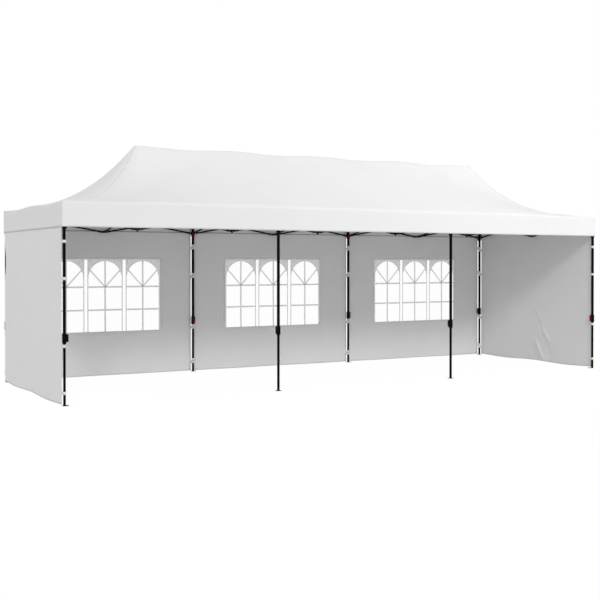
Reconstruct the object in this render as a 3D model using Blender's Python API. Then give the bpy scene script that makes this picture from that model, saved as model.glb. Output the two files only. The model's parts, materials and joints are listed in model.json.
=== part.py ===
"""Folding marquee tent: eight telescopic legs, scissor trusses, a hipped canopy and five wall panels.

Metres, +Z up. The origin is on the ground at the centre of the plan. X runs along the long side,
and the open front faces -Y.
"""

import math

import bmesh
import bpy
from mathutils import Matrix, Vector

# Plan
BAY = 2.92
BAYS = 3
PEAKS = 5
DEPTH = 2.82
HALF_LENGTH = BAY * BAYS / 2
HALF_DEPTH = DEPTH / 2

# Heights
EAVE_Z = 2.46
RIDGE_Z = 3.34
VALANCE_BOTTOM_Z = 2.15
HEM_Z = 0.010
WALL_TOP_Z = 2.40
UPPER_JOINT_Z = 2.425
LOWER_JOINT_Z = 2.185
COLLAR_BOTTOM_Z = 0.76
COLLAR_TOP_Z = 0.87

# Cloth
CLOTH = 0.003
GAP = 0.0003
WALL_INNER = 0.022
WALL_OUTER = WALL_INNER + CLOTH
VALANCE_INNER = WALL_OUTER + GAP
VALANCE_OUTER = VALANCE_INNER + CLOTH
WALL_SLIT = 0.025

# Canopy form
EAVE_X = HALF_LENGTH + VALANCE_OUTER
EAVE_Y = HALF_DEPTH + VALANCE_OUTER
CREST_HALF = 0.030
CREST_X = BAY + CREST_HALF
RIDGE_SAG = 0.025
SAG_POWER = 6
HIP_STEPS = 8
SPAN_STEPS = 4
HIP_PULL = 1.1
LONG_SLOPE = 0.75
END_SLOPE = 0.15
HIP_START = 0.10
HIP_POWER = 2.4
ON_HIP = 0.01

# Windows in the back wall
WINDOW_HALF = 0.888
WINDOW_BOTTOM_Z = 0.675
WINDOW_TOP_Z = 1.775
ARCH_PITCH = 0.603
ARCH_WIDTH = 0.525
ARCH_TOP_Z = 1.743
STRIP_WIDTH = 0.046
ARCH_STEPS = 14
FILM = 0.001
FILM_LAP = 0.025

# Legs
UPPER_TUBE = 0.030
UPPER_WALL = 0.0015
LOWER_TUBE = 0.0254
LOWER_WALL = 0.0015
LOWER_TUBE_TOP_Z = 1.50
COLLAR = 0.042
SLIDER_DROP = 0.060
SLIDER_RISE = 0.018
SLIDER = 0.038
COLLAR_PADDLE = (0.040, 0.080, 0.022)
SLIDER_PADDLE = (0.028, 0.046, 0.013)
FOOT = 0.070
FOOT_THICK = 0.004

# Trusses
BAR_DEEP = 0.022
BAR_THICK = 0.012
LAYER = 0.0065
PIVOT_REACH = 0.045
BAR_TAIL = 0.010
JOINED_TAIL = 0.030
BLOCK = 0.040
BLOCK_HIGH = 0.030
EAR = 0.003
EAR_REACH = 0.056
PIN = 0.010
PIN_SIDES = 6
POLE = 0.022
CAP_RADIUS = 0.024
CAP_HIGH = 0.012

# How far a solid runs into the one that it is joined to, and how far a cutter runs past what it cuts
BITE = 0.002
CUT_PAST = 0.05

UP = Vector((0, 0, 1))
LEG_XS = [(i - BAYS / 2) * BAY for i in range(BAYS + 1)]
PEAK_XS = [(i - (PEAKS - 1) / 2) * BAY / 2 for i in range(PEAKS)]
BAY_NAMES = ("left", "middle", "right")


def clear_scene():
    for obj in list(bpy.data.objects):
        bpy.data.objects.remove(obj)


def make_material(name, colour, roughness, metallic=0.0, alpha=1.0):
    material = bpy.data.materials.new(name)
    material.use_nodes = True
    shader = material.node_tree.nodes["Principled BSDF"]
    shader.inputs["Base Color"].default_value = (*colour, 1.0)
    shader.inputs["Roughness"].default_value = roughness
    shader.inputs["Metallic"].default_value = metallic
    shader.inputs["Alpha"].default_value = alpha
    return material


def box(low, high):
    """A box between two corners, as a mesh."""
    low = Vector(low)
    high = Vector(high)
    bm = bmesh.new()
    size = high - low
    place = Matrix.Translation((low + high) / 2) @ Matrix.Diagonal((*size, 1))
    bmesh.ops.create_cube(bm, size=1, matrix=place)
    return bm


def bar(start, end, deep, thick):
    """A rectangular bar from one point to another: deep is its height in the truss's plane."""
    run = end - start
    along = run.normalized()
    side = UP.cross(along).normalized()
    rise = along.cross(side)
    turn = Matrix((along, side, rise)).transposed().to_4x4()
    place = Matrix.Translation((start + end) / 2) @ turn @ Matrix.Diagonal((run.length, thick, deep, 1))
    bm = bmesh.new()
    bmesh.ops.create_cube(bm, size=1, matrix=place)
    return bm


def pin(centre, direction, length, diameter=PIN):
    """A round pin through a pivot."""
    turn = UP.rotation_difference(direction).to_matrix().to_4x4()
    bm = bmesh.new()
    bmesh.ops.create_cone(
        bm,
        cap_ends=True,
        segments=PIN_SIDES,
        radius1=diameter / 2,
        radius2=diameter / 2,
        depth=length,
        matrix=Matrix.Translation(centre) @ turn,
    )
    return bm


def add_object(name, bm, material, location=(0, 0, 0)):
    mesh = bpy.data.meshes.new(name)
    bm.to_mesh(mesh)
    bm.free()
    if material:
        mesh.materials.append(material)
    obj = bpy.data.objects.new(name, mesh)
    obj.location = location
    bpy.context.scene.collection.objects.link(obj)
    return obj


def fuse(name, solids, cuts, material, centre=None, location=(0, 0, 0)):
    """Joins overlapping solids into one body, takes the cuts out of it and names the result.

    Solids made in world coordinates give their centre, which becomes the object's place.
    """
    if centre is not None:
        location = centre
        for bm in solids + cuts:
            bmesh.ops.translate(bm, verts=bm.verts[:], vec=-Vector(centre))
    helpers = [add_object(name + "_piece", bm, None) for bm in solids + cuts]
    base = helpers[0]
    for index, helper in enumerate(helpers[1:], start=1):
        step = base.modifiers.new("step", "BOOLEAN")
        step.solver = "EXACT"
        step.operation = "UNION" if index < len(solids) else "DIFFERENCE"
        step.object = helper
    graph = bpy.context.evaluated_depsgraph_get()
    mesh = bpy.data.meshes.new_from_object(base.evaluated_get(graph))
    for helper in helpers:
        bpy.data.objects.remove(helper)
    mesh.name = name
    mesh.materials.clear()
    mesh.materials.append(material)
    obj = bpy.data.objects.new(name, mesh)
    obj.location = location
    bpy.context.scene.collection.objects.link(obj)
    return obj


def canopy_height(x, y):
    """Height of the canopy's top face: hips and ends are hollow curves, and the long slopes are flatter."""
    from_end = (EAVE_X - abs(x)) / (EAVE_X - CREST_X)
    from_side = (EAVE_Y - abs(y)) / (EAVE_Y - CREST_HALF)
    level = max(0.0, min(from_end, from_side, 1.0))
    hollow = HIP_START * level + (1 - HIP_START) * level**HIP_POWER
    spread = abs(from_end - from_side) * BAY / 2
    most = LONG_SLOPE if from_side < from_end else END_SLOPE
    flatness = most * (1 - math.exp(-((spread / HIP_PULL) ** 2)))
    height = hollow + flatness * (level - hollow)
    past_cap = min(abs(x - peak) for peak in PEAK_XS) - CREST_HALF
    share = max(0.0, past_cap) / (BAY / 4 - CREST_HALF)
    span = math.sin(math.pi / 2 * share) ** 2 if abs(x) < BAY else 0.0
    return EAVE_Z + (RIDGE_Z - EAVE_Z) * height - RIDGE_SAG * span * level**SAG_POWER


def canopy_grid_x():
    """Columns of the canopy: hip steps at both ends, even steps between peaks and a flat cap on each peak."""
    hip = [EAVE_X - i * (EAVE_X - CREST_X) / HIP_STEPS for i in range(HIP_STEPS)]
    columns = [-x for x in hip] + hip
    for peak in PEAK_XS:
        columns += [peak - CREST_HALF, peak + CREST_HALF]
    for left, right in zip(PEAK_XS, PEAK_XS[1:]):
        reach = right - left - 2 * CREST_HALF
        columns += [left + CREST_HALF + reach * i / SPAN_STEPS for i in range(1, SPAN_STEPS)]
    return sorted(columns)


def canopy_grid_y():
    """Rows of the canopy: the same number of steps on each slope, and a narrow flat crest."""
    slope = [EAVE_Y - i * (EAVE_Y - CREST_HALF) / HIP_STEPS for i in range(HIP_STEPS + 1)]
    return [-y for y in slope] + slope[::-1]


def make_canopy_roof(cloth):
    xs = canopy_grid_x()
    ys = canopy_grid_y()
    bm = bmesh.new()
    bmesh.ops.create_grid(bm, x_segments=len(xs) - 1, y_segments=len(ys) - 1, size=1)
    for vert in bm.verts:
        column = round((vert.co.x + 1) / 2 * (len(xs) - 1))
        row = round((vert.co.y + 1) / 2 * (len(ys) - 1))
        x = xs[column]
        y = ys[row]
        vert.co = (x, y, canopy_height(x, y))
    bm.normal_update()
    crease_hips(bm)
    bmesh.ops.triangulate(bm, faces=bm.faces[:])
    thicken_down(bm, CLOTH)
    return add_object("canopy_roof", bm, cloth)


def crease_hips(bm):
    """Splits each face that a hip crosses from its outer corner to its inner one."""
    end_step = (EAVE_X - CREST_X) / HIP_STEPS
    side_step = (EAVE_Y - CREST_HALF) / HIP_STEPS
    for face in list(bm.faces):
        verts = sorted(face.verts, key=lambda vert: abs(vert.co.x) + abs(vert.co.y))
        outer = verts[-1]
        inner = verts[0]
        steps_in = (EAVE_X - abs(outer.co.x)) / end_step
        steps_up = (EAVE_Y - abs(outer.co.y)) / side_step
        if abs(steps_in - steps_up) < ON_HIP and round(steps_in) < HIP_STEPS:
            bmesh.ops.connect_verts(bm, verts=[outer, inner])


def thicken_down(bm, thickness):
    """Gives an open sheet its thickness straight down, and closes its rim."""
    made = bmesh.ops.extrude_face_region(bm, geom=bm.faces[:], use_keep_orig=True)
    lower = [item for item in made["geom"] if isinstance(item, bmesh.types.BMVert)]
    bmesh.ops.translate(bm, verts=lower, vec=(0, 0, -thickness))
    bmesh.ops.recalc_face_normals(bm, faces=bm.faces[:])


def make_canopy_valance(cloth):
    """One band round the tent, under the roof's edge."""
    top = EAVE_Z - CLOTH - GAP
    inner_x = HALF_LENGTH + VALANCE_INNER
    inner_y = HALF_DEPTH + VALANCE_INNER
    ring = box((-EAVE_X, -EAVE_Y, VALANCE_BOTTOM_Z), (EAVE_X, EAVE_Y, top))
    hole = box((-inner_x, -inner_y, VALANCE_BOTTOM_Z - CUT_PAST), (inner_x, inner_y, top + CUT_PAST))
    return fuse("canopy_valance", [ring], [hole], cloth)


def arch_cutter(centre_x):
    """A window opening with a half-round head, as a prism across the wall."""
    half = ARCH_WIDTH / 2
    spring = ARCH_TOP_Z - half
    bm = bmesh.new()
    outline = [(centre_x + half, WINDOW_BOTTOM_Z)]
    for i in range(ARCH_STEPS + 1):
        turn = math.pi * i / ARCH_STEPS
        outline.append((centre_x + half * math.cos(turn), spring + half * math.sin(turn)))
    outline.append((centre_x - half, WINDOW_BOTTOM_Z))
    verts = [bm.verts.new((x, HALF_DEPTH, z)) for x, z in outline]
    face = bm.faces.new(verts)
    made = bmesh.ops.extrude_face_region(bm, geom=[face], use_keep_orig=True)
    moved = [item for item in made["geom"] if isinstance(item, bmesh.types.BMVert)]
    bmesh.ops.translate(bm, verts=moved, vec=(0, CUT_PAST, 0))
    bmesh.ops.recalc_face_normals(bm, faces=bm.faces[:])
    return bm


def make_back_wall(name, bay, cloth):
    """A wall panel between two back legs, with three arched lights and the clear strips between them."""
    centre = (LEG_XS[bay] + LEG_XS[bay + 1]) / 2
    half = BAY / 2 - WALL_SLIT
    near = HALF_DEPTH + WALL_INNER
    far = HALF_DEPTH + WALL_OUTER
    panel = box((centre - half, near, HEM_Z), (centre + half, far, WALL_TOP_Z))
    cuts = [arch_cutter(centre + side * ARCH_PITCH) for side in (-1, 0, 1)]
    for side in (-1, 1):
        strip = centre + side * ARCH_PITCH / 2
        low = (strip - STRIP_WIDTH / 2, HALF_DEPTH, WINDOW_BOTTOM_Z)
        high = (strip + STRIP_WIDTH / 2, HALF_DEPTH + CUT_PAST, WINDOW_TOP_Z - FILM_LAP / 2)
        cuts.append(box(low, high))
    return fuse(name, [panel], cuts, cloth, Vector((centre, near, 0)))


def make_window_film(name, bay, clear):
    """A clear sheet welded over the lights on the wall's outer face."""
    centre = (LEG_XS[bay] + LEG_XS[bay + 1]) / 2
    near = HALF_DEPTH + WALL_OUTER + GAP
    half = WINDOW_HALF + FILM_LAP
    low = (centre - half, near, WINDOW_BOTTOM_Z - FILM_LAP)
    high = (centre + half, near + FILM, WINDOW_TOP_Z + FILM_LAP)
    return add_object(name, box(low, high), clear)


def make_end_wall(name, side, cloth):
    near = side * (HALF_LENGTH + WALL_INNER)
    far = side * (HALF_LENGTH + WALL_OUTER)
    half = HALF_DEPTH - WALL_SLIT
    low = (min(near, far), -half, HEM_Z)
    high = (max(near, far), half, WALL_TOP_Z)
    return add_object(name, box(low, high), cloth)


def fork(centre, along, layer):
    """Two ears that hold the end of a bar: along points to the bar, layer is the bar's offset to the side."""
    side = UP.cross(along)
    ears = []
    for sign in (-1, 1):
        offset = layer + sign * (BAR_THICK / 2 + GAP + EAR / 2)
        start = centre + along * (BLOCK / 2 - BITE) + side * offset
        end = centre + along * EAR_REACH + side * offset
        ears.append(bar(start, end, BAR_DEEP, EAR))
    return ears


def joint_block(centre, arms):
    """A moulded bracket with a fork for each arm. An arm is its direction and its bar's layer."""
    half = Vector((BLOCK / 2, BLOCK / 2, BLOCK_HIGH / 2))
    solids = [box(centre - half, centre + half)]
    for along, layer in arms:
        solids += fork(centre, along, layer)
    return solids


def scissor(start, end, joined_start=False, joined_end=False):
    """One crossed pair of bars between two joint axes. Its tails run into the brackets it is joined to."""
    along = (end - start).normalized()
    side = UP.cross(along)
    low = UP * LOWER_JOINT_Z
    high = UP * UPPER_JOINT_Z
    near = start + along * PIVOT_REACH
    far = end - along * PIVOT_REACH
    solids = []
    for layer, first, last in ((LAYER, high, low), (-LAYER, low, high)):
        one = near + first + side * layer
        two = far + last + side * layer
        run = (two - one).normalized()
        head = run * (JOINED_TAIL if joined_start else BAR_TAIL)
        tail = run * (JOINED_TAIL if joined_end else BAR_TAIL)
        solids.append(bar(one - head, two + tail, BAR_DEEP, BAR_THICK))
    middle = (near + far + low + high) / 2
    solids.append(pin(middle, side, 2 * BAR_THICK))
    return solids


def joint_arms(directions, upper):
    """Each arm's direction, with the side on which its bar passes at an upper or a lower joint."""
    return [(along, LAYER if upper else -LAYER) for along in directions]


def make_truss(name, start, end, steel, inward):
    """Two scissors in line, joined in the middle by an upper and a lower bracket."""
    middle = (start + end) / 2
    along = (end - start).normalized()
    solids = []
    for z, upper in ((LOWER_JOINT_Z, False), (UPPER_JOINT_Z, True)):
        solids += joint_block(middle + UP * z, joint_arms([inward], upper))
    solids += scissor(start, middle, joined_end=True)
    solids += scissor(middle, end, joined_start=True)
    return fuse(name, solids, [], steel, middle + UP * LOWER_JOINT_Z)


def make_cross_truss(name, x, steel):
    """A peak pole on its two hubs, with a scissor to the front and one to the back."""
    foot = Vector((x, 0, 0))
    front = Vector((x, -HALF_DEPTH, 0))
    back = Vector((x, HALF_DEPTH, 0))
    directions = [Vector((-1, 0, 0)), Vector((1, 0, 0))]
    top = RIDGE_Z - CLOTH - GAP
    half = Vector((POLE / 2, POLE / 2, 0))
    solids = [box(foot - half + UP * (LOWER_JOINT_Z - BLOCK_HIGH), foot + half + UP * (top - CAP_HIGH / 2))]
    solids.append(pin(foot + UP * (top - CAP_HIGH / 2), UP, CAP_HIGH, CAP_RADIUS * 2))
    for z, upper in ((LOWER_JOINT_Z, False), (UPPER_JOINT_Z, True)):
        solids += joint_block(foot + UP * z, joint_arms(directions, upper))
    solids += scissor(front, foot, joined_end=True)
    solids += scissor(foot, back, joined_start=True)
    return fuse(name, solids, [], steel, foot + UP * LOWER_JOINT_Z)


def make_ridge_truss(name, start_x, end_x, steel):
    start = Vector((start_x, 0, 0))
    end = Vector((end_x, 0, 0))
    return fuse(name, scissor(start, end), [], steel, (start + end) / 2 + UP * LOWER_JOINT_Z)


def leg_directions(column, front):
    """The directions in which trusses leave a leg."""
    directions = []
    if column > 0:
        directions.append(Vector((-1, 0, 0)))
    if column < BAYS:
        directions.append(Vector((1, 0, 0)))
    directions.append(Vector((0, 1 if front else -1, 0)))
    return directions


def sleeve(width, low_z, high_z):
    """A square sleeve round the leg's own axis."""
    half = width / 2
    return box((-half, -half, low_z), (half, half, high_z))


def lock_paddle(facing, width, z, size):
    """The paddle that frees a spring lock, proud of its sleeve. The size is how wide, high and proud it is."""
    wide, high, proud = size
    across = UP.cross(facing) * wide / 2
    inner = facing * UPPER_TUBE / 2
    outer = facing * (width / 2 + proud)
    lift = UP * high / 2
    near = inner - across + UP * z - lift
    far = outer + across + UP * z + lift
    low_corner = [min(pair) for pair in zip(near, far)]
    high_corner = [max(pair) for pair in zip(near, far)]
    return box(low_corner, high_corner)


def make_upper_leg(name, x, y, directions, facing, steel):
    """The outer tube with its top bracket, its slider and the lock collar at its lower end."""
    top = EAVE_Z - CLOTH - GAP
    slider_bottom = LOWER_JOINT_Z - SLIDER_DROP
    slider_paddle_z = slider_bottom + SLIDER_PADDLE[1] / 2 + BITE
    solids = [
        sleeve(UPPER_TUBE, COLLAR_BOTTOM_Z + BITE, top - BITE),
        sleeve(COLLAR, COLLAR_BOTTOM_Z, COLLAR_TOP_Z),
        sleeve(SLIDER, slider_bottom, LOWER_JOINT_Z + SLIDER_RISE),
        sleeve(SLIDER, UPPER_JOINT_Z, top),
        lock_paddle(facing, COLLAR, (COLLAR_BOTTOM_Z + COLLAR_TOP_Z) / 2, COLLAR_PADDLE),
        lock_paddle(facing, SLIDER, slider_paddle_z, SLIDER_PADDLE),
    ]
    for z, upper in ((LOWER_JOINT_Z, False), (UPPER_JOINT_Z, True)):
        solids += joint_block(UP * z, joint_arms(directions, upper))
    cut = sleeve(UPPER_TUBE - 2 * UPPER_WALL, COLLAR_BOTTOM_Z - CUT_PAST, UPPER_JOINT_Z - BLOCK_HIGH)
    return fuse(name, solids, [cut], steel, location=(x, y, 0))


def make_lower_leg(name, x, y, shift_x, shift_y, steel):
    """The inner tube on its foot plate. Beside a wall the plate is moved inwards."""
    plate = FOOT / 2
    solids = [
        sleeve(LOWER_TUBE, FOOT_THICK / 2, LOWER_TUBE_TOP_Z),
        box((shift_x - plate, shift_y - plate, 0), (shift_x + plate, shift_y + plate, FOOT_THICK)),
    ]
    cut = sleeve(LOWER_TUBE - 2 * LOWER_WALL, 2 * FOOT_THICK, LOWER_TUBE_TOP_Z + CUT_PAST)
    return fuse(name, solids, [cut], steel, location=(x, y, 0))


def paddle_facing(column, front):
    """Lock paddles face inwards: along the tent at a corner, across it elsewhere."""
    along = {0: Vector((1, 0, 0)), BAYS: Vector((-1, 0, 0))}
    return along.get(column, Vector((0, 1 if front else -1, 0)))


def make_legs(steel):
    wall_shift = (FOOT - UPPER_TUBE) / 2
    for row, y, inward in (("front", -HALF_DEPTH, 1), ("back", HALF_DEPTH, -1)):
        front = row == "front"
        for column, x in enumerate(LEG_XS):
            tag = row + "_" + str(column + 1)
            facing = paddle_facing(column, front)
            make_upper_leg("upper_leg_" + tag, x, y, leg_directions(column, front), facing, steel)
            shift_x = {0: wall_shift, BAYS: -wall_shift}.get(column, 0.0)
            shift_y = 0.0 if front and not shift_x else inward * wall_shift
            make_lower_leg("lower_leg_" + tag, x, y, shift_x, shift_y, steel)


def make_trusses(steel):
    for row, y, inward in (("front", -HALF_DEPTH, 1), ("back", HALF_DEPTH, -1)):
        for bay in range(BAYS):
            start = Vector((LEG_XS[bay], y, 0))
            end = Vector((LEG_XS[bay + 1], y, 0))
            make_truss(row + "_truss_" + BAY_NAMES[bay], start, end, steel, Vector((0, inward, 0)))
    for name, x, inward in (("left_truss", -HALF_LENGTH, 1), ("right_truss", HALF_LENGTH, -1)):
        make_truss(name, Vector((x, -HALF_DEPTH, 0)), Vector((x, HALF_DEPTH, 0)), steel, Vector((inward, 0, 0)))
    for index, x in enumerate(PEAK_XS):
        make_cross_truss("cross_truss_" + str(index + 1), x, steel)
    stations = [-HALF_LENGTH, *PEAK_XS, HALF_LENGTH]
    for index in range(len(stations) - 1):
        make_ridge_truss("ridge_truss_" + str(index + 1), stations[index], stations[index + 1], steel)


def make_cloth(cloth, clear):
    make_canopy_roof(cloth)
    make_canopy_valance(cloth)
    for bay in range(BAYS):
        make_back_wall("back_wall_" + BAY_NAMES[bay], bay, cloth)
        make_window_film("window_film_" + BAY_NAMES[bay], bay, clear)
    make_end_wall("left_end_wall", -1, cloth)
    make_end_wall("right_end_wall", 1, cloth)


def main():
    clear_scene()
    bpy.context.scene.unit_settings.scale_length = 1.0
    cloth = make_material("white_polyester", (0.86, 0.86, 0.86), 0.7)
    clear = make_material("clear_vinyl", (0.95, 0.97, 0.98), 0.08, alpha=0.35)
    steel = make_material("black_powder_coat", (0.02, 0.02, 0.02), 0.42, metallic=0.3)
    make_legs(steel)
    make_trusses(steel)
    make_cloth(cloth, clear)


main()
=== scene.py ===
# %% [markdown]
# A long folding marquee, dressed for the camera
#
# The tent arrives as a frame of plain solids: eight telescopic legs, scissor trusses and sheets that stand
# for its cloth. This lesson keeps the steel where it is and gives it a coated finish, and it sews new
# cloth over the solids: a hipped canopy with its valance, five hanging walls and three printed windows.
# Each step says what the piece is on the real tent, how it could be made, and why this way was chosen.

# %% Load the frame and keep its size
import json
import math

import bmesh
import bpy
from mathutils import Matrix, Vector, noise
from mathutils.bvhtree import BVHTree

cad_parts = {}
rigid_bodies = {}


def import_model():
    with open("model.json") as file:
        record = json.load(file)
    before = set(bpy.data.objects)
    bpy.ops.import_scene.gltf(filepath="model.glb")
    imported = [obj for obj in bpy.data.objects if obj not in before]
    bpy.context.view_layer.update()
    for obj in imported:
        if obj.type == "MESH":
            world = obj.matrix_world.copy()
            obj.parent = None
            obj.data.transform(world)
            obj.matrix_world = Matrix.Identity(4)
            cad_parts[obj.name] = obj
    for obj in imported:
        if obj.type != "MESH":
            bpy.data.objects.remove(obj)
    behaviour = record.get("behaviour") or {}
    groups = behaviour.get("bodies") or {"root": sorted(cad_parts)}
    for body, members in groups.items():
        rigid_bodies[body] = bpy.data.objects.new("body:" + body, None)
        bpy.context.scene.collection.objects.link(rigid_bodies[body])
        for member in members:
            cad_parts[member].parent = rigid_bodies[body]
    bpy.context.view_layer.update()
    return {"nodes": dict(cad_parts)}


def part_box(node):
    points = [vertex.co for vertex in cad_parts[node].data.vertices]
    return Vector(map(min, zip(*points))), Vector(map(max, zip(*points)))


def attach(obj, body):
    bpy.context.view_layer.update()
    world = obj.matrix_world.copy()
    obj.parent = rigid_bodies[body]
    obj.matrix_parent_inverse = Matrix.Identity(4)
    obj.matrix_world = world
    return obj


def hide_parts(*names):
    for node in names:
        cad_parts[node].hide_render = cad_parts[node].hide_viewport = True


for startup_object in list(bpy.data.objects):
    bpy.data.objects.remove(startup_object)
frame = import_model()

# %% [markdown]
# Where things are
#
# A dressed piece has to meet the steel that carries it. The safest way is to read each place from the
# frame. The two middle legs stand on centred foot plates, so they give the bay and the depth, and the
# plain sheets give the planes in which the cloth hangs.

# %% Read the driving places
def middle(node):
    low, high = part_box(node)
    return (low + high) / 2


BAY = middle("lower_leg_front_3").x - middle("lower_leg_front_2").x
HALF_DEPTH = -middle("lower_leg_front_2").y
LEG_XS = [(column - 1.5) * BAY for column in range(4)]
PEAK_XS = [(peak - 2) * BAY / 2 for peak in range(5)]
BAY_NAMES = ("left", "middle", "right")
CAD_CLOTH = 0.003

roof_low, roof_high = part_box("canopy_roof")
EAVE_X = roof_high.x
EAVE_Y = roof_high.y
EAVE_Z = roof_low.z + CAD_CLOTH
RIDGE_Z = roof_high.z
VALANCE_BOTTOM_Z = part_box("canopy_valance")[0].z
WALL_Y = middle("back_wall_middle").y
WALL_X = middle("right_end_wall").x
HEM_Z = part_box("back_wall_middle")[0].z
WALL_TOP_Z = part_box("back_wall_middle")[1].z
BACK_WALL_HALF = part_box("back_wall_middle")[1].x
END_WALL_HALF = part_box("right_end_wall")[1].y
COLLAR_BOTTOM_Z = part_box("upper_leg_front_2")[0].z
print("Bay", round(BAY, 3), "and depth", round(2 * HALF_DEPTH, 3), "m")
print("Eave at", round(EAVE_Z, 3), "and ridge at", round(RIDGE_Z, 3), "m")

# %% [markdown]
# Shader helpers
#
# A finish on this tent is never one flat colour. Each material starts from the Principled shader, and
# small node chains vary its colour, its roughness and its surface. They could be written out node by
# node. Short helpers keep them readable: each adds one kind of step and returns its output.

# %% Helpers for materials
def new_material(name, colour, roughness, **shader_values):
    """A Principled material. Values that are even all over are set on the shader itself."""
    material = bpy.data.materials.new(name)
    material.use_nodes = True
    tree = material.node_tree
    shader = tree.nodes["Principled BSDF"]
    shader.inputs["Base Color"].default_value = (*colour, 1.0)
    shader.inputs["Roughness"].default_value = roughness
    for socket, value in shader_values.items():
        shader.inputs[socket.replace("_", " ")].default_value = value
    return material, tree, shader


def add_node(tree, kind, inputs=(), **settings):
    """Adds a node. An input is a value, or the output socket that feeds it."""
    made = tree.nodes.new("ShaderNode" + kind)
    for setting, value in settings.items():
        setattr(made, setting, value)
    for socket, value in dict(inputs).items():
        if isinstance(value, bpy.types.NodeSocket):
            tree.links.new(value, made.inputs[socket])
        else:
            made.inputs[socket].default_value = value
    return made


def noise_on(tree, scale, detail=2.0, vector=None):
    """A noise pattern fixed to the object, as a value from 0 to 1."""
    vector = vector or add_node(tree, "TexCoord").outputs["Object"]
    return add_node(tree, "TexNoise", {"Vector": vector, "Scale": scale, "Detail": detail}).outputs["Fac"]


def between(tree, value, low, high):
    """Spreads a pattern over a range."""
    return add_node(tree, "MapRange", {"Value": value, "To Min": low, "To Max": high}).outputs["Result"]


def shade_of(tree, value, dark, light):
    """A colour between a dark and a light shade, as a pattern says."""
    ends = {"Fac": value, "Color1": (*dark, 1.0), "Color2": (*light, 1.0)}
    return add_node(tree, "MixRGB", ends).outputs["Color"]


def bump(tree, height, distance, strength=1.0, under=None):
    """Raises the surface by a pattern, over the bumps that lie under it."""
    made = add_node(tree, "Bump", {"Height": height, "Distance": distance, "Strength": strength})
    if under:
        tree.links.new(under, made.inputs["Normal"])
    return made.outputs["Normal"]


def maths(tree, operation, *values):
    """A sum, a product or another operation on one to three values."""
    return add_node(tree, "Math", dict(enumerate(values)), operation=operation).outputs[0]


print("Shader helpers: new_material, add_node, noise_on, between, shade_of, bump and maths")

# %% [markdown]
# Coated polyester
#
# The canopy and the walls are woven polyester with a matt coating. Close up one sees the threads, further
# off a faint mottling where the coating is thicker, and along every hem two rows of stitches. The weave
# follows the cloth, so it reads the UV map, which every sheet gets in metres. The stitches need to know how
# far they are from the edge, and each sheet carries that as an attribute named from_edge.

# %% The cloth finish
THREAD = 0.0016
STITCH_LENGTH = 0.008
STITCH_ROWS = (0.006, 0.024)
STITCH_WIDE = 0.0016
DASH_OFF, DASH_ON = -0.6, -0.2
NO_EDGE = 0.10


def cross_threads(tree, pitch):
    """Threads over and under each other: the product of two sine waves along the UV map."""
    uv = add_node(tree, "TexCoord").outputs["UV"]
    parts = add_node(tree, "SeparateXYZ", {"Vector": uv}).outputs
    turns = [maths(tree, "MULTIPLY", parts[axis], 2 * math.pi / pitch) for axis in "XY"]
    return maths(tree, "MULTIPLY", *[maths(tree, "SINE", turn) for turn in turns])


def stitch_rows(tree):
    """Dashes at fixed distances from the sheet's edge, as a value from 0 to 1."""
    from_edge = add_node(tree, "Attribute", attribute_name="from_edge").outputs["Fac"]
    uv = add_node(tree, "TexCoord").outputs["UV"]
    parts = add_node(tree, "SeparateXYZ", {"Vector": uv}).outputs
    run = maths(tree, "ADD", parts["X"], parts["Y"])
    dash = maths(tree, "SINE", maths(tree, "MULTIPLY", run, 2 * math.pi / STITCH_LENGTH))
    cut_off = {"Value": dash, "From Min": DASH_OFF, "From Max": DASH_ON}
    dash = add_node(tree, "MapRange", cut_off).outputs["Result"]
    rows = []
    for distance in STITCH_ROWS:
        away = maths(tree, "ABSOLUTE", maths(tree, "SUBTRACT", from_edge, distance))
        near = {"Value": away, "From Min": STITCH_WIDE, "From Max": 0.0}
        rows.append(add_node(tree, "MapRange", near).outputs["Result"])
    return maths(tree, "MULTIPLY", maths(tree, "MAXIMUM", *rows), dash)


def make_cloth_finish(name, dark, light):
    material, tree, shader = new_material(name, light, 0.7, Sheen_Weight=0.12, Specular_IOR_Level=0.3)
    mottle = noise_on(tree, 2.3, detail=4.0)
    tree.links.new(shade_of(tree, mottle, dark, light), shader.inputs["Base Color"])
    tree.links.new(between(tree, noise_on(tree, 31.0), 0.60, 0.80), shader.inputs["Roughness"])
    surface = bump(tree, noise_on(tree, 7.0, detail=3.0), 0.004, strength=0.25)
    surface = bump(tree, cross_threads(tree, THREAD), 0.0002, strength=0.35, under=surface)
    surface = bump(tree, stitch_rows(tree), 0.0006, strength=0.6, under=surface)
    tree.links.new(surface, shader.inputs["Normal"])
    return material


tent_cloth = make_cloth_finish("tent_cloth", (0.80, 0.80, 0.805), (0.85, 0.85, 0.855))
print("Cloth finish:", len(tent_cloth.node_tree.nodes), "nodes")

# %% [markdown]
# Black powder coat, nylon, steel and the red of the locks
#
# The tubes and bars are powder-coated: satin black with a fine orange peel. The brackets are moulded nylon,
# duller and with a faint grain. A Bevel node rounds the light on sharp steel edges without a single extra
# face, which is why the frame's own solids can stay as they are. The lock levers are red nylon, and the
# bolts are zinc plated.

# %% The hard finishes
EDGE_ROUND = 0.0015


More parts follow.
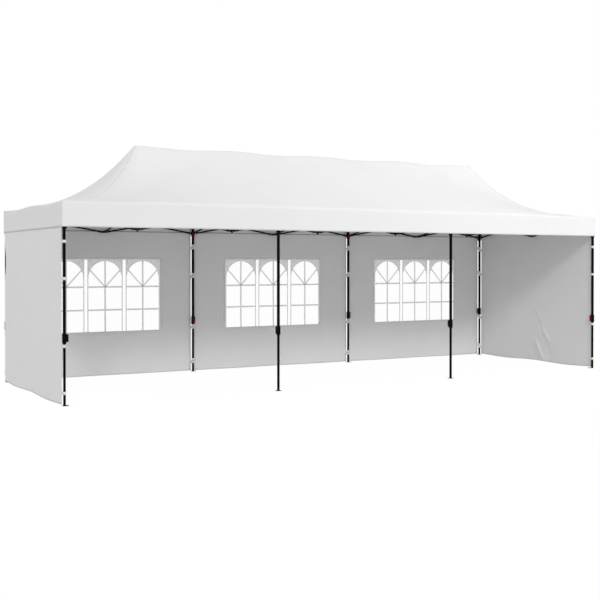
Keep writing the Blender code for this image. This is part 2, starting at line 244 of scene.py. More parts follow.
def make_hard_finish(name, dark, light, roughness, grain, gloss=0.05, metallic=0.0, rounded=False):
    """A smooth, hard finish with a fine grain and a slow change of gloss."""
    material, tree, shader = new_material(name, light, roughness, Metallic=metallic, Specular_IOR_Level=gloss)
    tree.links.new(shade_of(tree, noise_on(tree, 6.0, detail=3.0), dark, light), shader.inputs["Base Color"])
    smear = between(tree, noise_on(tree, 18.0, detail=3.0), roughness - 0.07, roughness + 0.07)
    tree.links.new(smear, shader.inputs["Roughness"])
    edge = add_node(tree, "Bevel", {"Radius": EDGE_ROUND}, samples=4).outputs["Normal"] if rounded else None
    surface = bump(tree, noise_on(tree, grain), 0.0003, strength=0.25, under=edge)
    tree.links.new(surface, shader.inputs["Normal"])
    return material


powder_coat = make_hard_finish("powder_coat", 3 * (0.0016,), 3 * (0.0032,), 0.45, 700.0, rounded=True)
black_nylon = make_hard_finish("black_nylon", 3 * (0.002,), 3 * (0.005,), 0.55, 450.0)
red_nylon = make_hard_finish("red_nylon", (0.17, 0.001, 0.022), (0.25, 0.002, 0.034), 0.42, 450.0, gloss=0.12)
zinc_plate = make_hard_finish(
    "zinc_plate", (0.30, 0.30, 0.31), (0.46, 0.46, 0.47), 0.36, 300.0, gloss=0.5, metallic=0.9
)
for node in frame["nodes"].values():
    node.data.materials.clear()
    node.data.materials.append(powder_coat)
print("The frame's", len(frame["nodes"]), "nodes wear powder coat until their cloth is sewn")

# %% [markdown]
# Clear vinyl, its white print and the webbing
#
# The windows are clear flexible vinyl, with their bars printed on in thin white ink. The ink lets some
# of the daylight behind it through, so from inside it looks lighter than the wall. The straps are
# white webbing with a coarse weave, with painted shade darkening the hollows between its threads. A grey
# strip of the same weave along each back wall is painted shade too: it stands in for the dark line of
# shade under the top of the wall.

# %% The window and webbing finishes
WEBBING_PITCH = 0.003


def make_clear_vinyl():
    material, tree, shader = new_material("clear_vinyl", (0.96, 0.97, 0.98), 0.08, Alpha=0.018)
    tree.links.new(between(tree, noise_on(tree, 5.0), 0.05, 0.14), shader.inputs["Roughness"])
    tree.links.new(bump(tree, noise_on(tree, 2.5), 0.01, strength=0.3), shader.inputs["Normal"])
    return material


def make_white_print():
    material, tree, shader = new_material("white_print", (0.86, 0.86, 0.87), 0.5, Alpha=0.48)
    shade = shade_of(tree, noise_on(tree, 9.0), (0.82, 0.82, 0.83), (0.90, 0.90, 0.91))
    tree.links.new(shade, shader.inputs["Base Color"])
    return material


def make_webbing(name, dark, light):
    """Coarse threads, with painted shade darkening the hollows between them."""
    material, tree, shader = new_material(name, 3 * (light,), 0.8)
    threads = cross_threads(tree, WEBBING_PITCH)
    hollow_shade_mask = maths(tree, "MULTIPLY_ADD", threads, 0.5, 0.5)
    # Painted shade: the colour is darker in the hollows between the threads and lighter on their tops.
    tree.links.new(shade_of(tree, hollow_shade_mask, 3 * (dark,), 3 * (light,)), shader.inputs["Base Color"])
    surface = bump(tree, threads, 0.0005, strength=0.6)
    tree.links.new(surface, shader.inputs["Normal"])
    return material


clear_vinyl = make_clear_vinyl()
white_print = make_white_print()
white_webbing = make_webbing("white_webbing", 0.70, 0.92)
# Painted shade: this grey webbing stands in for the dark line of shade under the top of each back wall.
shade_line_webbing = make_webbing("shade_line_webbing", 0.36, 0.50)
print("Materials so far:", sorted(material.name for material in bpy.data.materials))

# %% [markdown]
# From mesh to piece
#
# Every piece ends in the same way. Its bmesh becomes a mesh with a UV map in metres, its round parts are
# shaded smooth, and it rides on a body of the frame. A sheet gets its thickness from a Solidify
# modifier, so that its form can be shaped as a single layer.

# %% Helpers for pieces
SHEET_THICK = 0.0012
SMOOTH_ANGLE = 40


def add_object(name, data):
    """A new object at the origin of the scene."""
    obj = bpy.data.objects.new(name, data)
    bpy.context.scene.collection.objects.link(obj)
    return obj


def only(kind, items):
    """The vertices or the edges among what an operator made."""
    return [item for item in items if isinstance(item, kind)]


def lay_uv(bm):
    """A UV map in metres: each face is laid flat along the axis that it faces."""
    layer = bm.loops.layers.uv.verify()
    for face in bm.faces:
        facing = [abs(part) for part in face.normal]
        across = facing.index(max(facing))
        u_axis, v_axis = ((1, 2), (0, 2), (0, 1))[across]
        for loop in face.loops:
            loop[layer].uv = (loop.vert.co[u_axis], loop.vert.co[v_axis])


def finish_piece(name, bm, material, body="root", angle=SMOOTH_ANGLE):
    """Turns a bmesh into a piece of the tent."""
    bm.normal_update()
    lay_uv(bm)
    mesh = bpy.data.meshes.new(name)
    bm.to_mesh(mesh)
    bm.free()
    mesh.materials.append(material)
    mesh.shade_smooth()
    mesh.set_sharp_from_angle(angle=math.radians(angle))
    obj = add_object(name, mesh)
    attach(obj, body)
    return obj


def thicken(obj, thickness=SHEET_THICK):
    """Gives a single layer its thickness, half to each side."""
    solidify = obj.modifiers.new("thickness", "SOLIDIFY")
    solidify.thickness = thickness
    solidify.offset = 0.0
    return obj


def cloth_area(obj):
    """The area of one layer, in square metres."""
    return sum(face.area for face in obj.data.polygons)


print("A sheet is", 1000 * SHEET_THICK, "mm thick")

# %% [markdown]
# Flat grids and soft curves
#
# Cloth is cut flat and then hung, and its mesh is made in the same two steps. A grid gets a column or a row
# at every hem and at every edge of an opening, and a rule shapes it afterwards. The rules use two soft
# curves, a bell and a step, because cloth never changes its direction at once.

# %% Helpers for flat sheets
def sheet_grid(us, vs):
    """A flat sheet with a column at each of us and a row at each of vs."""
    bm = bmesh.new()
    bmesh.ops.create_grid(bm, x_segments=len(us) - 1, y_segments=len(vs) - 1, size=1)
    for vert in bm.verts:
        column = round((vert.co.x + 1) / 2 * (len(us) - 1))
        row = round((vert.co.y + 1) / 2 * (len(vs) - 1))
        vert.co = (us[column], vs[row], 0)
    return bm


def evenly(start, end, pitch):
    """Places from start to end, no further apart than pitch, without the last one."""
    count = max(1, math.ceil(abs(end - start) / pitch))
    return [start + (end - start) * step / count for step in range(count)]


def through(stops, pitch):
    """All the stops, with even places between them."""
    places = []
    for start, end in zip(stops, stops[1:]):
        places += evenly(start, end, pitch)
    return places + [stops[-1]]


def bell(away, wide):
    """1 in the middle, with a soft fall to both sides."""
    return math.exp(-((away / wide) ** 2))


def smooth_step(value, start, end):
    """0 before start, 1 after end and a soft rise between."""
    share = min(max((value - start) / (end - start), 0.0), 1.0)
    return share * share * (3 - 2 * share)


print("Even places from 0 to 1:", [round(place, 2) for place in through([0.0, 1.0], 0.4)])

# %% [markdown]
# The canopy
#
# The roof is one stretched sheet over five peak poles. It could be simulated, but the real one is cut to
# its form and hangs taut, so its surface follows a rule. The rule starts from two levels: how far a place
# has climbed from the end, and how far from the side. The lower one counts, and where they are equal
# there is a hip.

# %% How far up the roof a place is
CREST_HALF = 0.030
CREST_X = BAY + CREST_HALF
HIP_SOFT = 0.06
HIP_SOFT_MIDDLE = 0.26


def soft_min(first, second, reach):
    """The smaller of two values, with a rounded change from one to the other."""
    near = max(reach - abs(first - second), 0.0) / reach
    return min(first, second) - near * near * reach / 4


def roof_levels(x, y):
    """How far a place is from the end and from the side, from 0 at the eave to 1 at the crest."""
    from_end = (EAVE_X - abs(x)) / (EAVE_X - CREST_X)
    from_side = (EAVE_Y - abs(y)) / (EAVE_Y - CREST_HALF)
    return from_end, from_side


def hip_softness(level):
    """The hips are tight at the corner and at the peak, where the frame holds them, and soft between."""
    level = min(max(level, 0.0), 1.0)
    return HIP_SOFT + (HIP_SOFT_MIDDLE - HIP_SOFT) * 4 * level * (1 - level)


print("The crest is", round(2 * CREST_X, 3), "m long")

# %% [markdown]
# Slack
#
# No canopy is pulled perfectly tight. It swells a little between the frame's high points, puckers near each
# corner where the hip is sewn, and its eave sags between the joints that carry it. Noise makes the
# swells, because a few waves would soon repeat. The rest are bells and sines.

# %% The slack in the cloth
SWELL = 0.007
PUCKER = 0.012
PUCKER_ACROSS = 0.30
PUCKER_ALONG = 0.05
CROWN_AT = 0.19
DIP_AT = 0.28
DIP_SHARE = 0.8
END_EAVE_SAG = 0.020
SIDE_EAVE_SAG = 0.007


def roof_slack(x, y):
    """Shallow swells between the frame's high points, and the puckers near each corner."""
    from_end, from_side = roof_levels(x, y)
    level = min(from_end, from_side, 1.0)
    free = 4 * max(level, 0.0) * (1 - level)
    swell = noise.noise(Vector((0.8 * x, 1.5 * y, 4.0))) + 0.4 * noise.noise(Vector((2.1 * x, 3.0 * y, 9.0)))
    on_hip = bell(from_end - from_side, PUCKER_ACROSS)
    crown = bell(level - CROWN_AT, PUCKER_ALONG)
    dip = bell(level - DIP_AT, PUCKER_ALONG)
    return SWELL * free * swell + PUCKER * on_hip * (crown - DIP_SHARE * dip)


def eave_sag(x, y):
    """How far the eave sags between the joints that carry it, at each leg and halfway between legs."""
    from_end, from_side = roof_levels(x, y)
    if from_end < from_side:
        return END_EAVE_SAG * math.sin(math.pi * min(abs(y), EAVE_Y) / EAVE_Y) ** 2
    return SIDE_EAVE_SAG * math.sin(math.pi * x / (BAY / 2)) ** 2 * smooth_step(EAVE_X - abs(x), 0.0, 0.30)


print("Sag of the eave:", 1000 * END_EAVE_SAG, "mm at an end and", 1000 * SIDE_EAVE_SAG, "mm along a side")

# %% [markdown]
# From levels to heights
#
# The hips sweep down in a hollow curve, the long slopes are flatter, and the ridge sags a little between
# the poles. The same rule as in the frame gives the heights, here with soft hips and a soft crest.

# %% The rule for the roof
RIDGE_SAG = 0.025
SAG_POWER = 6
HIP_PULL = 1.1
LONG_SLOPE = 0.75
END_SLOPE = 0.15
HIP_START = 0.10
HIP_POWER = 2.4
CREST_SOFT = 0.014


def roof_height(x, y):
    """Height of the stretched cloth over the plan."""
    from_end, from_side = roof_levels(x, y)
    soft = hip_softness((from_end + from_side) / 2)
    level = soft_min(from_end, from_side, soft) + HIP_SOFT / 8
    below = 1 - min(max(level, 0.0), 1.0)
    level = 1 - (below**2 / (2 * CREST_SOFT) if below < CREST_SOFT else below - CREST_SOFT / 2)
    hollow = HIP_START * level + (1 - HIP_START) * level**HIP_POWER
    spread = abs(from_end - from_side) * BAY / 2
    most = LONG_SLOPE if from_side < from_end else END_SLOPE
    flatness = most * (1 - bell(spread, HIP_PULL))
    rise = hollow + flatness * (level - hollow)
    past_cap = min(abs(x - peak) for peak in PEAK_XS) - CREST_HALF
    share = max(0.0, past_cap) / (BAY / 4 - CREST_HALF)
    span = math.sin(math.pi / 2 * share) ** 2 if abs(x) < BAY else 0.0
    sag = RIDGE_SAG * span * level**SAG_POWER + eave_sag(x, y) * (1 - level) ** 4
    return EAVE_Z + (RIDGE_Z - EAVE_Z) * rise - sag


print("Roof at mid slope:", round(roof_height(0.0, EAVE_Y / 2), 3), "m")

# %% [markdown]
# The grid of the roof
#
# A fold shows best where the mesh has an edge on it. Columns and rows that close in on the ridge at the same
# pace put a diagonal exactly under each hip, and the squares there are cut from corner to corner.

# %% Lay out the grid
HIP_ROWS = 34
CLOTH_PITCH = 0.042


def canopy_grid():
    """Columns and rows of the roof."""
    steps = [row / HIP_ROWS for row in range(HIP_ROWS)] + [1 - CREST_SOFT / 2]
    columns = [EAVE_X - step * (EAVE_X - CREST_X) for step in steps]
    rows = [EAVE_Y - step * (EAVE_Y - CREST_HALF) for step in steps]
    stops = []
    for peak in PEAK_XS:
        stops += [peak - CREST_HALF, peak, peak + CREST_HALF]
    xs = [-x for x in columns] + through(stops, CLOTH_PITCH) + columns[::-1]
    ys = [-y for y in rows] + [-CREST_HALF, 0.0, CREST_HALF] + rows[::-1]
    return xs, ys


def turn_hip_diagonals(bm):
    """Cuts each square that a hip crosses, from its outer corner to its inner one."""
    for face in list(bm.faces):
        verts = sorted(face.verts, key=lambda vert: abs(vert.co.x) + abs(vert.co.y))
        from_end, from_side = roof_levels(verts[-1].co.x, verts[-1].co.y)
        if abs(from_end - from_side) < 1e-4 and from_end < 1 - CREST_SOFT:
            bmesh.ops.connect_verts(bm, verts=[verts[-1], verts[0]])


print("Roof grid:", " by ".join(str(len(places)) for places in canopy_grid()), "points")

# %% [markdown]
# The fold at the eave and the valance
#
# The valance is sewn to the roof, so canopy and valance are one sheet here: the roof's rim is extruded
# round a small fold and then straight down, ring by ring. Near the bottom two rings lie close together,
# where the hem doubles the cloth.

# %% The rule for the eave
FOLD = 0.010
FOLD_WIDE = 0.015
FOLD_WIDENS = (0.10, 0.50)
HEM_HIGH = 0.026


def fold_at(x, y):
    """How far in from the eave the fold begins: close over the corner brackets, wider between them."""
    from_corner = max(EAVE_X - abs(x), EAVE_Y - abs(y))
    return FOLD + (FOLD_WIDE - FOLD) * smooth_step(from_corner, *FOLD_WIDENS)


def on_rim(x, y):
    """Whether a place at the eave belongs to an end, to a long side, or at a corner to both."""
    near = fold_at(x, y) + 0.001
    return EAVE_X - abs(x) < near, EAVE_Y - abs(y) < near


def set_in(x, y, inset):
    """Moves a place at the eave to a distance in from it."""
    at_end, at_side = on_rim(x, y)
    return (
        math.copysign(EAVE_X - inset, x) if at_end else x,
        math.copysign(EAVE_Y - inset, y) if at_side else y,
    )


def fold_place(x, y, share):
    """A place on the fold, from 0 where it leaves the roof to 1 where the valance begins."""
    fold = fold_at(x, y)
    rim_x, rim_y = set_in(x, y, fold)
    start = roof_height(rim_x, rim_y) + roof_slack(rim_x, rim_y)
    left = 1 - share
    eave = EAVE_Z - eave_sag(x, y)
    x, y = set_in(x, y, left * left * fold)
    return x, y, left * left * start + 2 * share * left * eave + share * share * (eave - fold)


def valance_place(x, y, share):
    """A place on the valance, from 0 at the fold to 1 at the top of the hem."""
    top = EAVE_Z - eave_sag(x, y) - fold_at(x, y)
    return *set_in(x, y, 0.0), top + (VALANCE_BOTTOM_Z + HEM_HIGH - top) * share


def next_ring(bm, rim, place):
    """Extrudes the open rim, and puts each new point where place says."""
    made = bmesh.ops.extrude_edge_only(bm, edges=rim)["geom"]
    for vert in only(bmesh.types.BMVert, made):
        vert.co = place(vert.co.x, vert.co.y)
    return only(bmesh.types.BMEdge, made)


print("Valance:", round(EAVE_Z - VALANCE_BOTTOM_Z, 3), "m high")

# %% [markdown]
# The free edge
#
# The lower edge of the valance isn't held by anything. It swings out a little between the corners, and more
# the lower it is, so the rule needs to know how far down a point has come and which side it is on.

# %% The rule for the free edge
VALANCE_WAVE = 0.007
VALANCE_LIFT = 0.003
VALANCE_FREE = (0.02, 0.35)


def wave_valance(vert):
    """The free lower edge of the valance swings out a little and its hem isn't quite level."""
    drop = (EAVE_Z - FOLD - vert.co.z) / (EAVE_Z - FOLD - VALANCE_BOTTOM_Z)
    on_side = abs(vert.co.y) > EAVE_Y - FOLD
    on_end = abs(vert.co.x) > EAVE_X - FOLD
    if drop <= 0 or on_side == on_end:
        return
    along = vert.co.x if on_side else vert.co.y
    reach = EAVE_X if on_side else EAVE_Y
    fade = smooth_step(reach - abs(along), *VALANCE_FREE)
    side = math.copysign(1, vert.co.y if on_side else vert.co.x)
    wave = noise.noise(Vector((1.3 * along, 5.0 * side, 2.0 + on_end)))
    swing = VALANCE_WAVE * fade * drop**1.3 * (0.5 + wave)
    if on_side:
        vert.co.y += side * max(swing, 0.0)
    else:
        vert.co.x += side * max(swing, 0.0) / 2
    vert.co.z += VALANCE_LIFT * fade * drop * noise.noise(Vector((0.9 * along, 7.0 * side, 6.0)))


print("The valance swings out by some", 1000 * VALANCE_WAVE, "mm")

# %% [markdown]
# One sheet
#
# Now the grid gets its heights, and its rim the fold, the valance and the hem. The four upright folds are
# bevelled, because cloth never turns a corner sharply.

# %% Shape the canopy
FOLD_STEPS = 4
VALANCE_ROWS = 7
HEM_STEP = 0.0012
CORNER_ROUND = 0.009


def make_canopy():
    xs, ys = canopy_grid()
    bm = sheet_grid(xs, ys)
    turn_hip_diagonals(bm)
    rim = [edge for edge in bm.edges if edge.is_boundary]
    rim_verts = {vert for edge in rim for vert in edge.verts}
    for vert in bm.verts:
        vert.co.z = roof_height(vert.co.x, vert.co.y) + roof_slack(vert.co.x, vert.co.y)
    for vert in rim_verts:
        vert.co = fold_place(vert.co.x, vert.co.y, 0.0)
    for step in range(1, FOLD_STEPS + 1):
        rim = next_ring(bm, rim, lambda x, y: fold_place(x, y, step / FOLD_STEPS))
    for step in range(1, VALANCE_ROWS + 1):
        rim = next_ring(bm, rim, lambda x, y: valance_place(x, y, step / VALANCE_ROWS))
    for z in (VALANCE_BOTTOM_Z + HEM_HIGH - HEM_STEP, VALANCE_BOTTOM_Z):
        rim = next_ring(bm, rim, lambda x, y: (*set_in(x, y, -HEM_STEP), z))
    for vert in bm.verts:
        wave_valance(vert)
    return bm


def round_corners(bm):
    """Rounds the four upright folds at the corners of the valance."""
    end, side = EAVE_X - FOLD / 2, EAVE_Y - FOLD / 2
    upright = []
    for edge in bm.edges:
        at_corner = all(abs(vert.co.x) > end and abs(vert.co.y) > side for vert in edge.verts)
        if at_corner and abs(edge.verts[0].co.z - edge.verts[1].co.z) > HEM_STEP / 2:
            upright.append(edge)
    bmesh.ops.bevel(
        bm, geom=upright, offset=CORNER_ROUND, affect="EDGES", segments=3, profile=0.5, material=-1
    )


canopy_mesh = make_canopy()
round_corners(canopy_mesh)
print("Canopy:", len(canopy_mesh.faces), "faces")

# %% [markdown]
# Seams, and the finished sheet
#
# The rows of stitches follow the seams, so each point stores how far it is from the nearest one. Then the
# sheet takes the place of the frame's plain roof and valance. Its form is kept for the tapes.

# %% Finish the canopy
def mark_edges(bm, distance):
    """Stores each point's distance from the sheet's edge, for the stitches."""
    layer = bm.verts.layers.float.new("from_edge")
    for vert in bm.verts:
        vert[layer] = distance(vert.co)


def from_canopy_seam(place):
    """The distance from the hem, from the seam under the eave and from the seams along the hips."""
    found = place.z - VALANCE_BOTTOM_Z
    if place.z < EAVE_Z - FOLD_WIDE:
        return min(found, EAVE_Z - FOLD_WIDE - place.z, NO_EDGE)
    from_end, from_side = roof_levels(place.x, place.y)
    return min(abs(from_end - from_side) * EAVE_Y * math.sqrt(0.5), NO_EDGE)


mark_edges(canopy_mesh, from_canopy_seam)
bmesh.ops.recalc_face_normals(canopy_mesh, faces=canopy_mesh.faces[:])
canopy_shape = BVHTree.FromBMesh(canopy_mesh)
canopy = thicken(finish_piece("canopy", canopy_mesh, tent_cloth))
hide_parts("canopy_roof", "canopy_valance")

# %% [markdown]
# Seam tapes and patches
#
# A canopy leaks where it is sewn, so a tape is welded along each hip and along the ridge. Where a peak pole
# pushes, a square patch doubles the cloth from inside. Each of them starts as a flat strip and is
# dropped onto the finished canopy with a ray from above, so it follows every swell.

# %% Lay the tapes and the patches
TAPE_HALF = 0.014
TAPE_PITCH = 0.021
TAPE_LIFT = 0.0011
TAPE_THICK = 0.0008
PATCH_HALF = 0.10
PATCH_LIFT = -0.0014
CORNERS = {"front_left": (-1, -1), "front_right": (1, -1), "back_left": (-1, 1), "back_right": (1, 1)}


def lay_on_canopy(name, bm, lift):
    """Drops a flat piece onto the canopy from above."""
    for vert in bm.verts:
        above = Vector((vert.co.x, vert.co.y, 2 * RIDGE_Z))
        vert.co.z = canopy_shape.ray_cast(above, Vector((0, 0, -1)))[0].z + lift
    return thicken(finish_piece(name, bm, tent_cloth), TAPE_THICK)


def hip_tape(end, side):
    """A flat strip from the crest down to one corner."""
    crest = Vector((end * CREST_X, side * CREST_HALF, 0))
    corner = Vector((end * (EAVE_X - FOLD), side * (EAVE_Y - FOLD), 0))
    run = corner - crest
    bm = sheet_grid(through([0.0, run.length - 2 * TAPE_HALF], TAPE_PITCH), [-TAPE_HALF, 0.0, TAPE_HALF])
    turn = Matrix.Translation(crest) @ Matrix.Rotation(math.atan2(run.y, run.x), 4, "Z")
    bmesh.ops.transform(bm, verts=bm.verts[:], matrix=turn)
    return bm


canopy_trims = [lay_on_canopy("hip_tape_" + name, hip_tape(*CORNERS[name]), TAPE_LIFT) for name in CORNERS]
across_ridge = [-CREST_HALF, -TAPE_HALF, TAPE_HALF, CREST_HALF]
ridge_tape = sheet_grid(through([-CREST_X, CREST_X], TAPE_PITCH), across_ridge)
canopy_trims.append(lay_on_canopy("ridge_tape", ridge_tape, TAPE_LIFT))
for index, x in enumerate(PEAK_XS):
    along = through([x - PATCH_HALF, x + PATCH_HALF], TAPE_PITCH)
    patch = sheet_grid(along, through([-PATCH_HALF, PATCH_HALF], TAPE_PITCH))
    canopy_trims.append(lay_on_canopy("peak_patch_" + str(index + 1), patch, PATCH_LIFT))
print("Tapes and patches:", len(canopy_trims))

# %% [markdown]
# Walls that hang
#
# A wall is a rectangle of the same cloth. It is held along its top and tied to the legs at four
# heights, so it is flat at the top, dimpled at the ties and free at the hem. A cloth simulation would
# find such folds by itself, but the real panels are almost taut, and a sum of a few small shapes gives the
# same calm surface each time: one broad belly, slow upright folds, a flutter at the hem and a few creases.
# The window sheets use the same sum, so they stay in the wall.

# %% The rule for a hanging wall
TIE_HEIGHTS = (0.154, 0.718, 1.528, 1.974)
BELLY = 0.010
FOLD_DEPTH = 0.005
FLUTTER = 0.010
TIE_PULL = 0.0015
HEM_WAVE = 1.5
CREASE_WIDE = 0.032
EDGE_BOW = 0.004
FLAT_ABOVE = (1.65, 2.12)
HELD_WIDE = 0.30
FLUTTER_HIGH = 0.28
TIE_REACH = 0.10
HEM_WAVE_HIGH = 0.20


def crease(u, z, start, end, depth):
    """A straight fold in the cloth between two places, fading at its ends."""
    run = Vector(end) - Vector(start)
    away = Vector((u, z)) - Vector(start)
    along = away.dot(run) / run.length_squared
    aside = abs(away.cross(run)) / run.length
    fade = smooth_step(along, -0.25, 0.25) * (1 - smooth_step(along, 0.75, 1.25))
    return depth * fade * bell(aside, CREASE_WIDE)


def hang(u, z, half, seed, creases=()):
    """How far the cloth stands out from the flat, for a wall with its middle at u = 0."""
    free = 1 - smooth_step(z, *FLAT_ABOVE)
    inside = smooth_step(half - abs(u), 0.0, HELD_WIDE)
    belly = BELLY * math.cos(math.pi * u / (2 * half)) * math.sin(math.pi * z / WALL_TOP_Z)
    folds = FOLD_DEPTH * noise.noise(Vector((2.3 * u, 0.35 * z, seed)))
    folds += 0.5 * FOLD_DEPTH * noise.noise(Vector((1.1 * u + 1.7 * z, 1.4 * z, seed + 3.0)))
    low = math.exp(-z / FLUTTER_HIGH)
    flutter = FLUTTER * low * noise.noise(Vector((2.0 * u, 0.0, seed + 7.0)))
    pull = 0.0
    for height in TIE_HEIGHTS:
        away = math.hypot(half - abs(u), 1.8 * (z - height))
        pull += TIE_PULL * bell(away, TIE_REACH)
    sum_of_creases = sum(crease(u, z, *each) for each in creases)
    return free * (inside * (belly + folds + flutter) - pull) + sum_of_creases


def hem_height(u, z, wave):
    """Lifts the hem in shallow arcs between the places where it touches down."""
    return wave * math.cos(2 * math.pi * u / HEM_WAVE) * math.exp(-z / HEM_WAVE_HIGH)


def edge_bow(z, low, high, deep):
    """How far an upright edge bows in between two heights at which it is held."""
    share = min(max((z - low) / (high - low), 0.0), 1.0)
    return deep * 4 * share * (1 - share)


belly_at_middle = hang(0.0, WALL_TOP_Z / 2, BACK_WALL_HALF, 0.0)
print("The middle of a wall stands out", round(1000 * belly_at_middle, 1), "mm")

# %% [markdown]
# Cutting a wall
#
# The sheet starts as a flat grid with extra rows and columns at its hems, where the doubled cloth
# stands a little proud. A back wall also has rows and columns at the edges of its window, so that the
# window can be cut out by deleting whole faces.

# %% Cut the flat walls
SIDE_HEM = 0.030
WINDOW_HALF = 0.888
WINDOW_BOTTOM_Z = 0.675
WINDOW_TOP_Z = 1.775


def wall_grid(half, window_at, pitch):
    """A flat wall: u runs along it from its middle, and v is the height."""
    hem = half - SIDE_HEM
    us = [-half, -hem - HEM_STEP, -hem, hem, hem + HEM_STEP, half]
    vs = [HEM_Z, HEM_Z + HEM_HIGH, HEM_Z + HEM_HIGH + HEM_STEP, WALL_TOP_Z]
    if window_at is None:
        return sheet_grid(through(us, pitch), through(vs, pitch))
    us += [window_at - WINDOW_HALF, window_at + WINDOW_HALF]
    vs += [WINDOW_BOTTOM_Z, WINDOW_TOP_Z]
    bm = sheet_grid(through(sorted(us), pitch), through(sorted(vs), pitch))
    cut_window(bm, window_at)
    return bm


def cut_window(bm, window_at):
    """Deletes the faces of a flat grid that lie in the window."""
    inside = []
    for face in bm.faces:
        place = face.calc_center_median()
        if abs(place.x - window_at) < WINDOW_HALF and WINDOW_BOTTOM_Z < place.y < WINDOW_TOP_Z:
            inside.append(face)
    bmesh.ops.delete(bm, geom=inside, context="FACES")


def hem_step(u, z, half):
    """Doubled cloth at the hems stands proud by one thickness."""
    on_hem = half - abs(u) < SIDE_HEM - HEM_STEP / 2 or z - HEM_Z < HEM_HIGH + HEM_STEP / 2
    return HEM_STEP if on_hem else 0.0


def wall_edge_distance(half, window_at):
    """The distance from a place on the flat wall to the nearest sewn edge."""

    def distance(place):
        found = min(half - abs(place.x), place.y - HEM_Z, WALL_TOP_Z - place.y)
        if window_at is not None:
            aside = abs(place.x - window_at) - WINDOW_HALF
            outside = max(aside, WINDOW_BOTTOM_Z - place.y, place.y - WINDOW_TOP_Z)
            found = min(found, max(outside, 0.0))
        return min(found, NO_EDGE)

    return distance


print("A window opening measures", 2 * WINDOW_HALF, "by", round(WINDOW_TOP_Z - WINDOW_BOTTOM_Z, 3), "m")

# %% [markdown]
# Standing a wall up
#
# A matrix stands the flat wall up behind its legs, and the rule gives each point its distance from the flat.
# Its upright edges are held at the ties and bow in a little between them. At one place the cloth is loose
# and bows in further.

# %% Stand and hang a sheet
def bowed(u, z, half, loose):
    """Draws the upright edges in between the ties. A loose span bows in further."""
    held = (HEM_Z, *TIE_HEIGHTS, WALL_TOP_Z)
    bow = sum(edge_bow(z, low, high, EDGE_BOW) for low, high in zip(held, held[1:]))
    if loose and u * loose[0] > 0:
        bow += edge_bow(z, *loose[1:])
    return u - math.copysign(bow * smooth_step(abs(u), half - HELD_WIDE, half), u)


def hang_sheet(bm, half, seed, lift, stand, wave, creases=(), loose=None):
    """Hangs a flat sheet: lift stands it off the wall, and stand turns and moves it to its place."""
    for vert in bm.verts:
        u, z = vert.co.x, vert.co.y
        out = hang(u, z, half, seed, creases) + lift(u, z)
        vert.co = stand @ Vector((bowed(u, z, half, loose), out, z + hem_height(u, z, wave)))


def back_stand(bay):
    """Back walls face outwards along +Y."""
    return Matrix.Translation(((LEG_XS[bay] + LEG_XS[bay + 1]) / 2, WALL_Y, 0))


def end_stand(side):
    """End walls face outwards along X, and u runs towards the front at both ends."""
    turn = Matrix(((0, side, 0, 0), (-1, 0, 0, 0), (0, 0, 1, 0), (0, 0, 0, 1)))
    return Matrix.Translation((side * WALL_X, 0, 0)) @ turn


print("Upright edges bow in by", 1000 * EDGE_BOW, "mm between the ties")

# %% [markdown]
# The five walls
#
# The back walls touch down all along. The end walls are looser: their hems rise in an arc, and the right
# one has the folds that cloth takes when it is tied a little too high. One number shifts the
# folds of each wall, so that no two are alike.

# %% Make the walls
WALL_PITCH = 0.045
END_WALL_PITCH = 0.026
WINDOW_AT = (0.030, 0.008, -0.013)
BACK_HEM_WAVE = 0.0015
END_HEM_WAVE = 0.009
BACK_SEED, LEFT_SEED, RIGHT_SEED = 11.0, 21.0, 31.0
RIGHT_CREASES = (
    ((0.06, 0.37), (0.25, 0.05), -0.018),
    ((0.20, 0.59), (0.41, 0.36), -0.015),
    ((-0.04, 0.24), (0.08, 0.03), 0.010),
    ((0.13, 0.70), (0.24, 0.50), 0.010),
    ((0.32, 0.30), (0.43, 0.12), 0.010),
    ((0.02, 0.95), (0.20, 0.72), -0.006),
)
LEFT_CREASES = (
    ((0.55, 0.40), (0.72, 0.08), -0.006),
    ((-0.70, 0.45), (-0.86, 0.10), -0.006),
)
LOOSE_BACK_EDGE = (-1, 1.50, 1.97, 0.064)


def make_wall(name, node, half, seed, stand, window_at=None, creases=(), loose=None):
    plain = window_at is None
    bm = wall_grid(half, window_at, END_WALL_PITCH if plain else WALL_PITCH)
    mark_edges(bm, wall_edge_distance(half, window_at))
    wave = END_HEM_WAVE if plain else BACK_HEM_WAVE
    hang_sheet(bm, half, seed, lambda u, z: hem_step(u, z, half), stand, wave, creases, loose)
    wall = thicken(finish_piece(name, bm, tent_cloth))
    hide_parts(node)
    height = WALL_TOP_Z - HEM_Z
    area = 2 * half * height
    if not plain:
        area -= 2 * WINDOW_HALF * (WINDOW_TOP_Z - WINDOW_BOTTOM_Z)
    print(name, "area:", round(cloth_area(wall), 3), "cut:", round(area, 3))


for bay, bay_name in enumerate(BAY_NAMES):
    cloth_name, node = "back_wall_cloth_" + bay_name, "back_wall_" + bay_name
    make_wall(cloth_name, node, BACK_WALL_HALF, BACK_SEED + bay, back_stand(bay), WINDOW_AT[bay])
left = {"creases": LEFT_CREASES, "loose": LOOSE_BACK_EDGE}
make_wall("left_wall_cloth", "left_end_wall", END_WALL_HALF, LEFT_SEED, end_stand(-1), **left)
right = {"creases": RIGHT_CREASES}
make_wall("right_wall_cloth", "right_end_wall", END_WALL_HALF, RIGHT_SEED, end_stand(1), **right)

# %% [markdown]
# The printed windows
#
# Each window is one sheet of clear vinyl, welded behind the opening, with the bars of three arched
# lights printed on it. A printed pattern could be an image, but as a sheet of its own it stays sharp
# from near by. The straight bars are a grid: all the cells that lie in a clear pane are cut out of it.

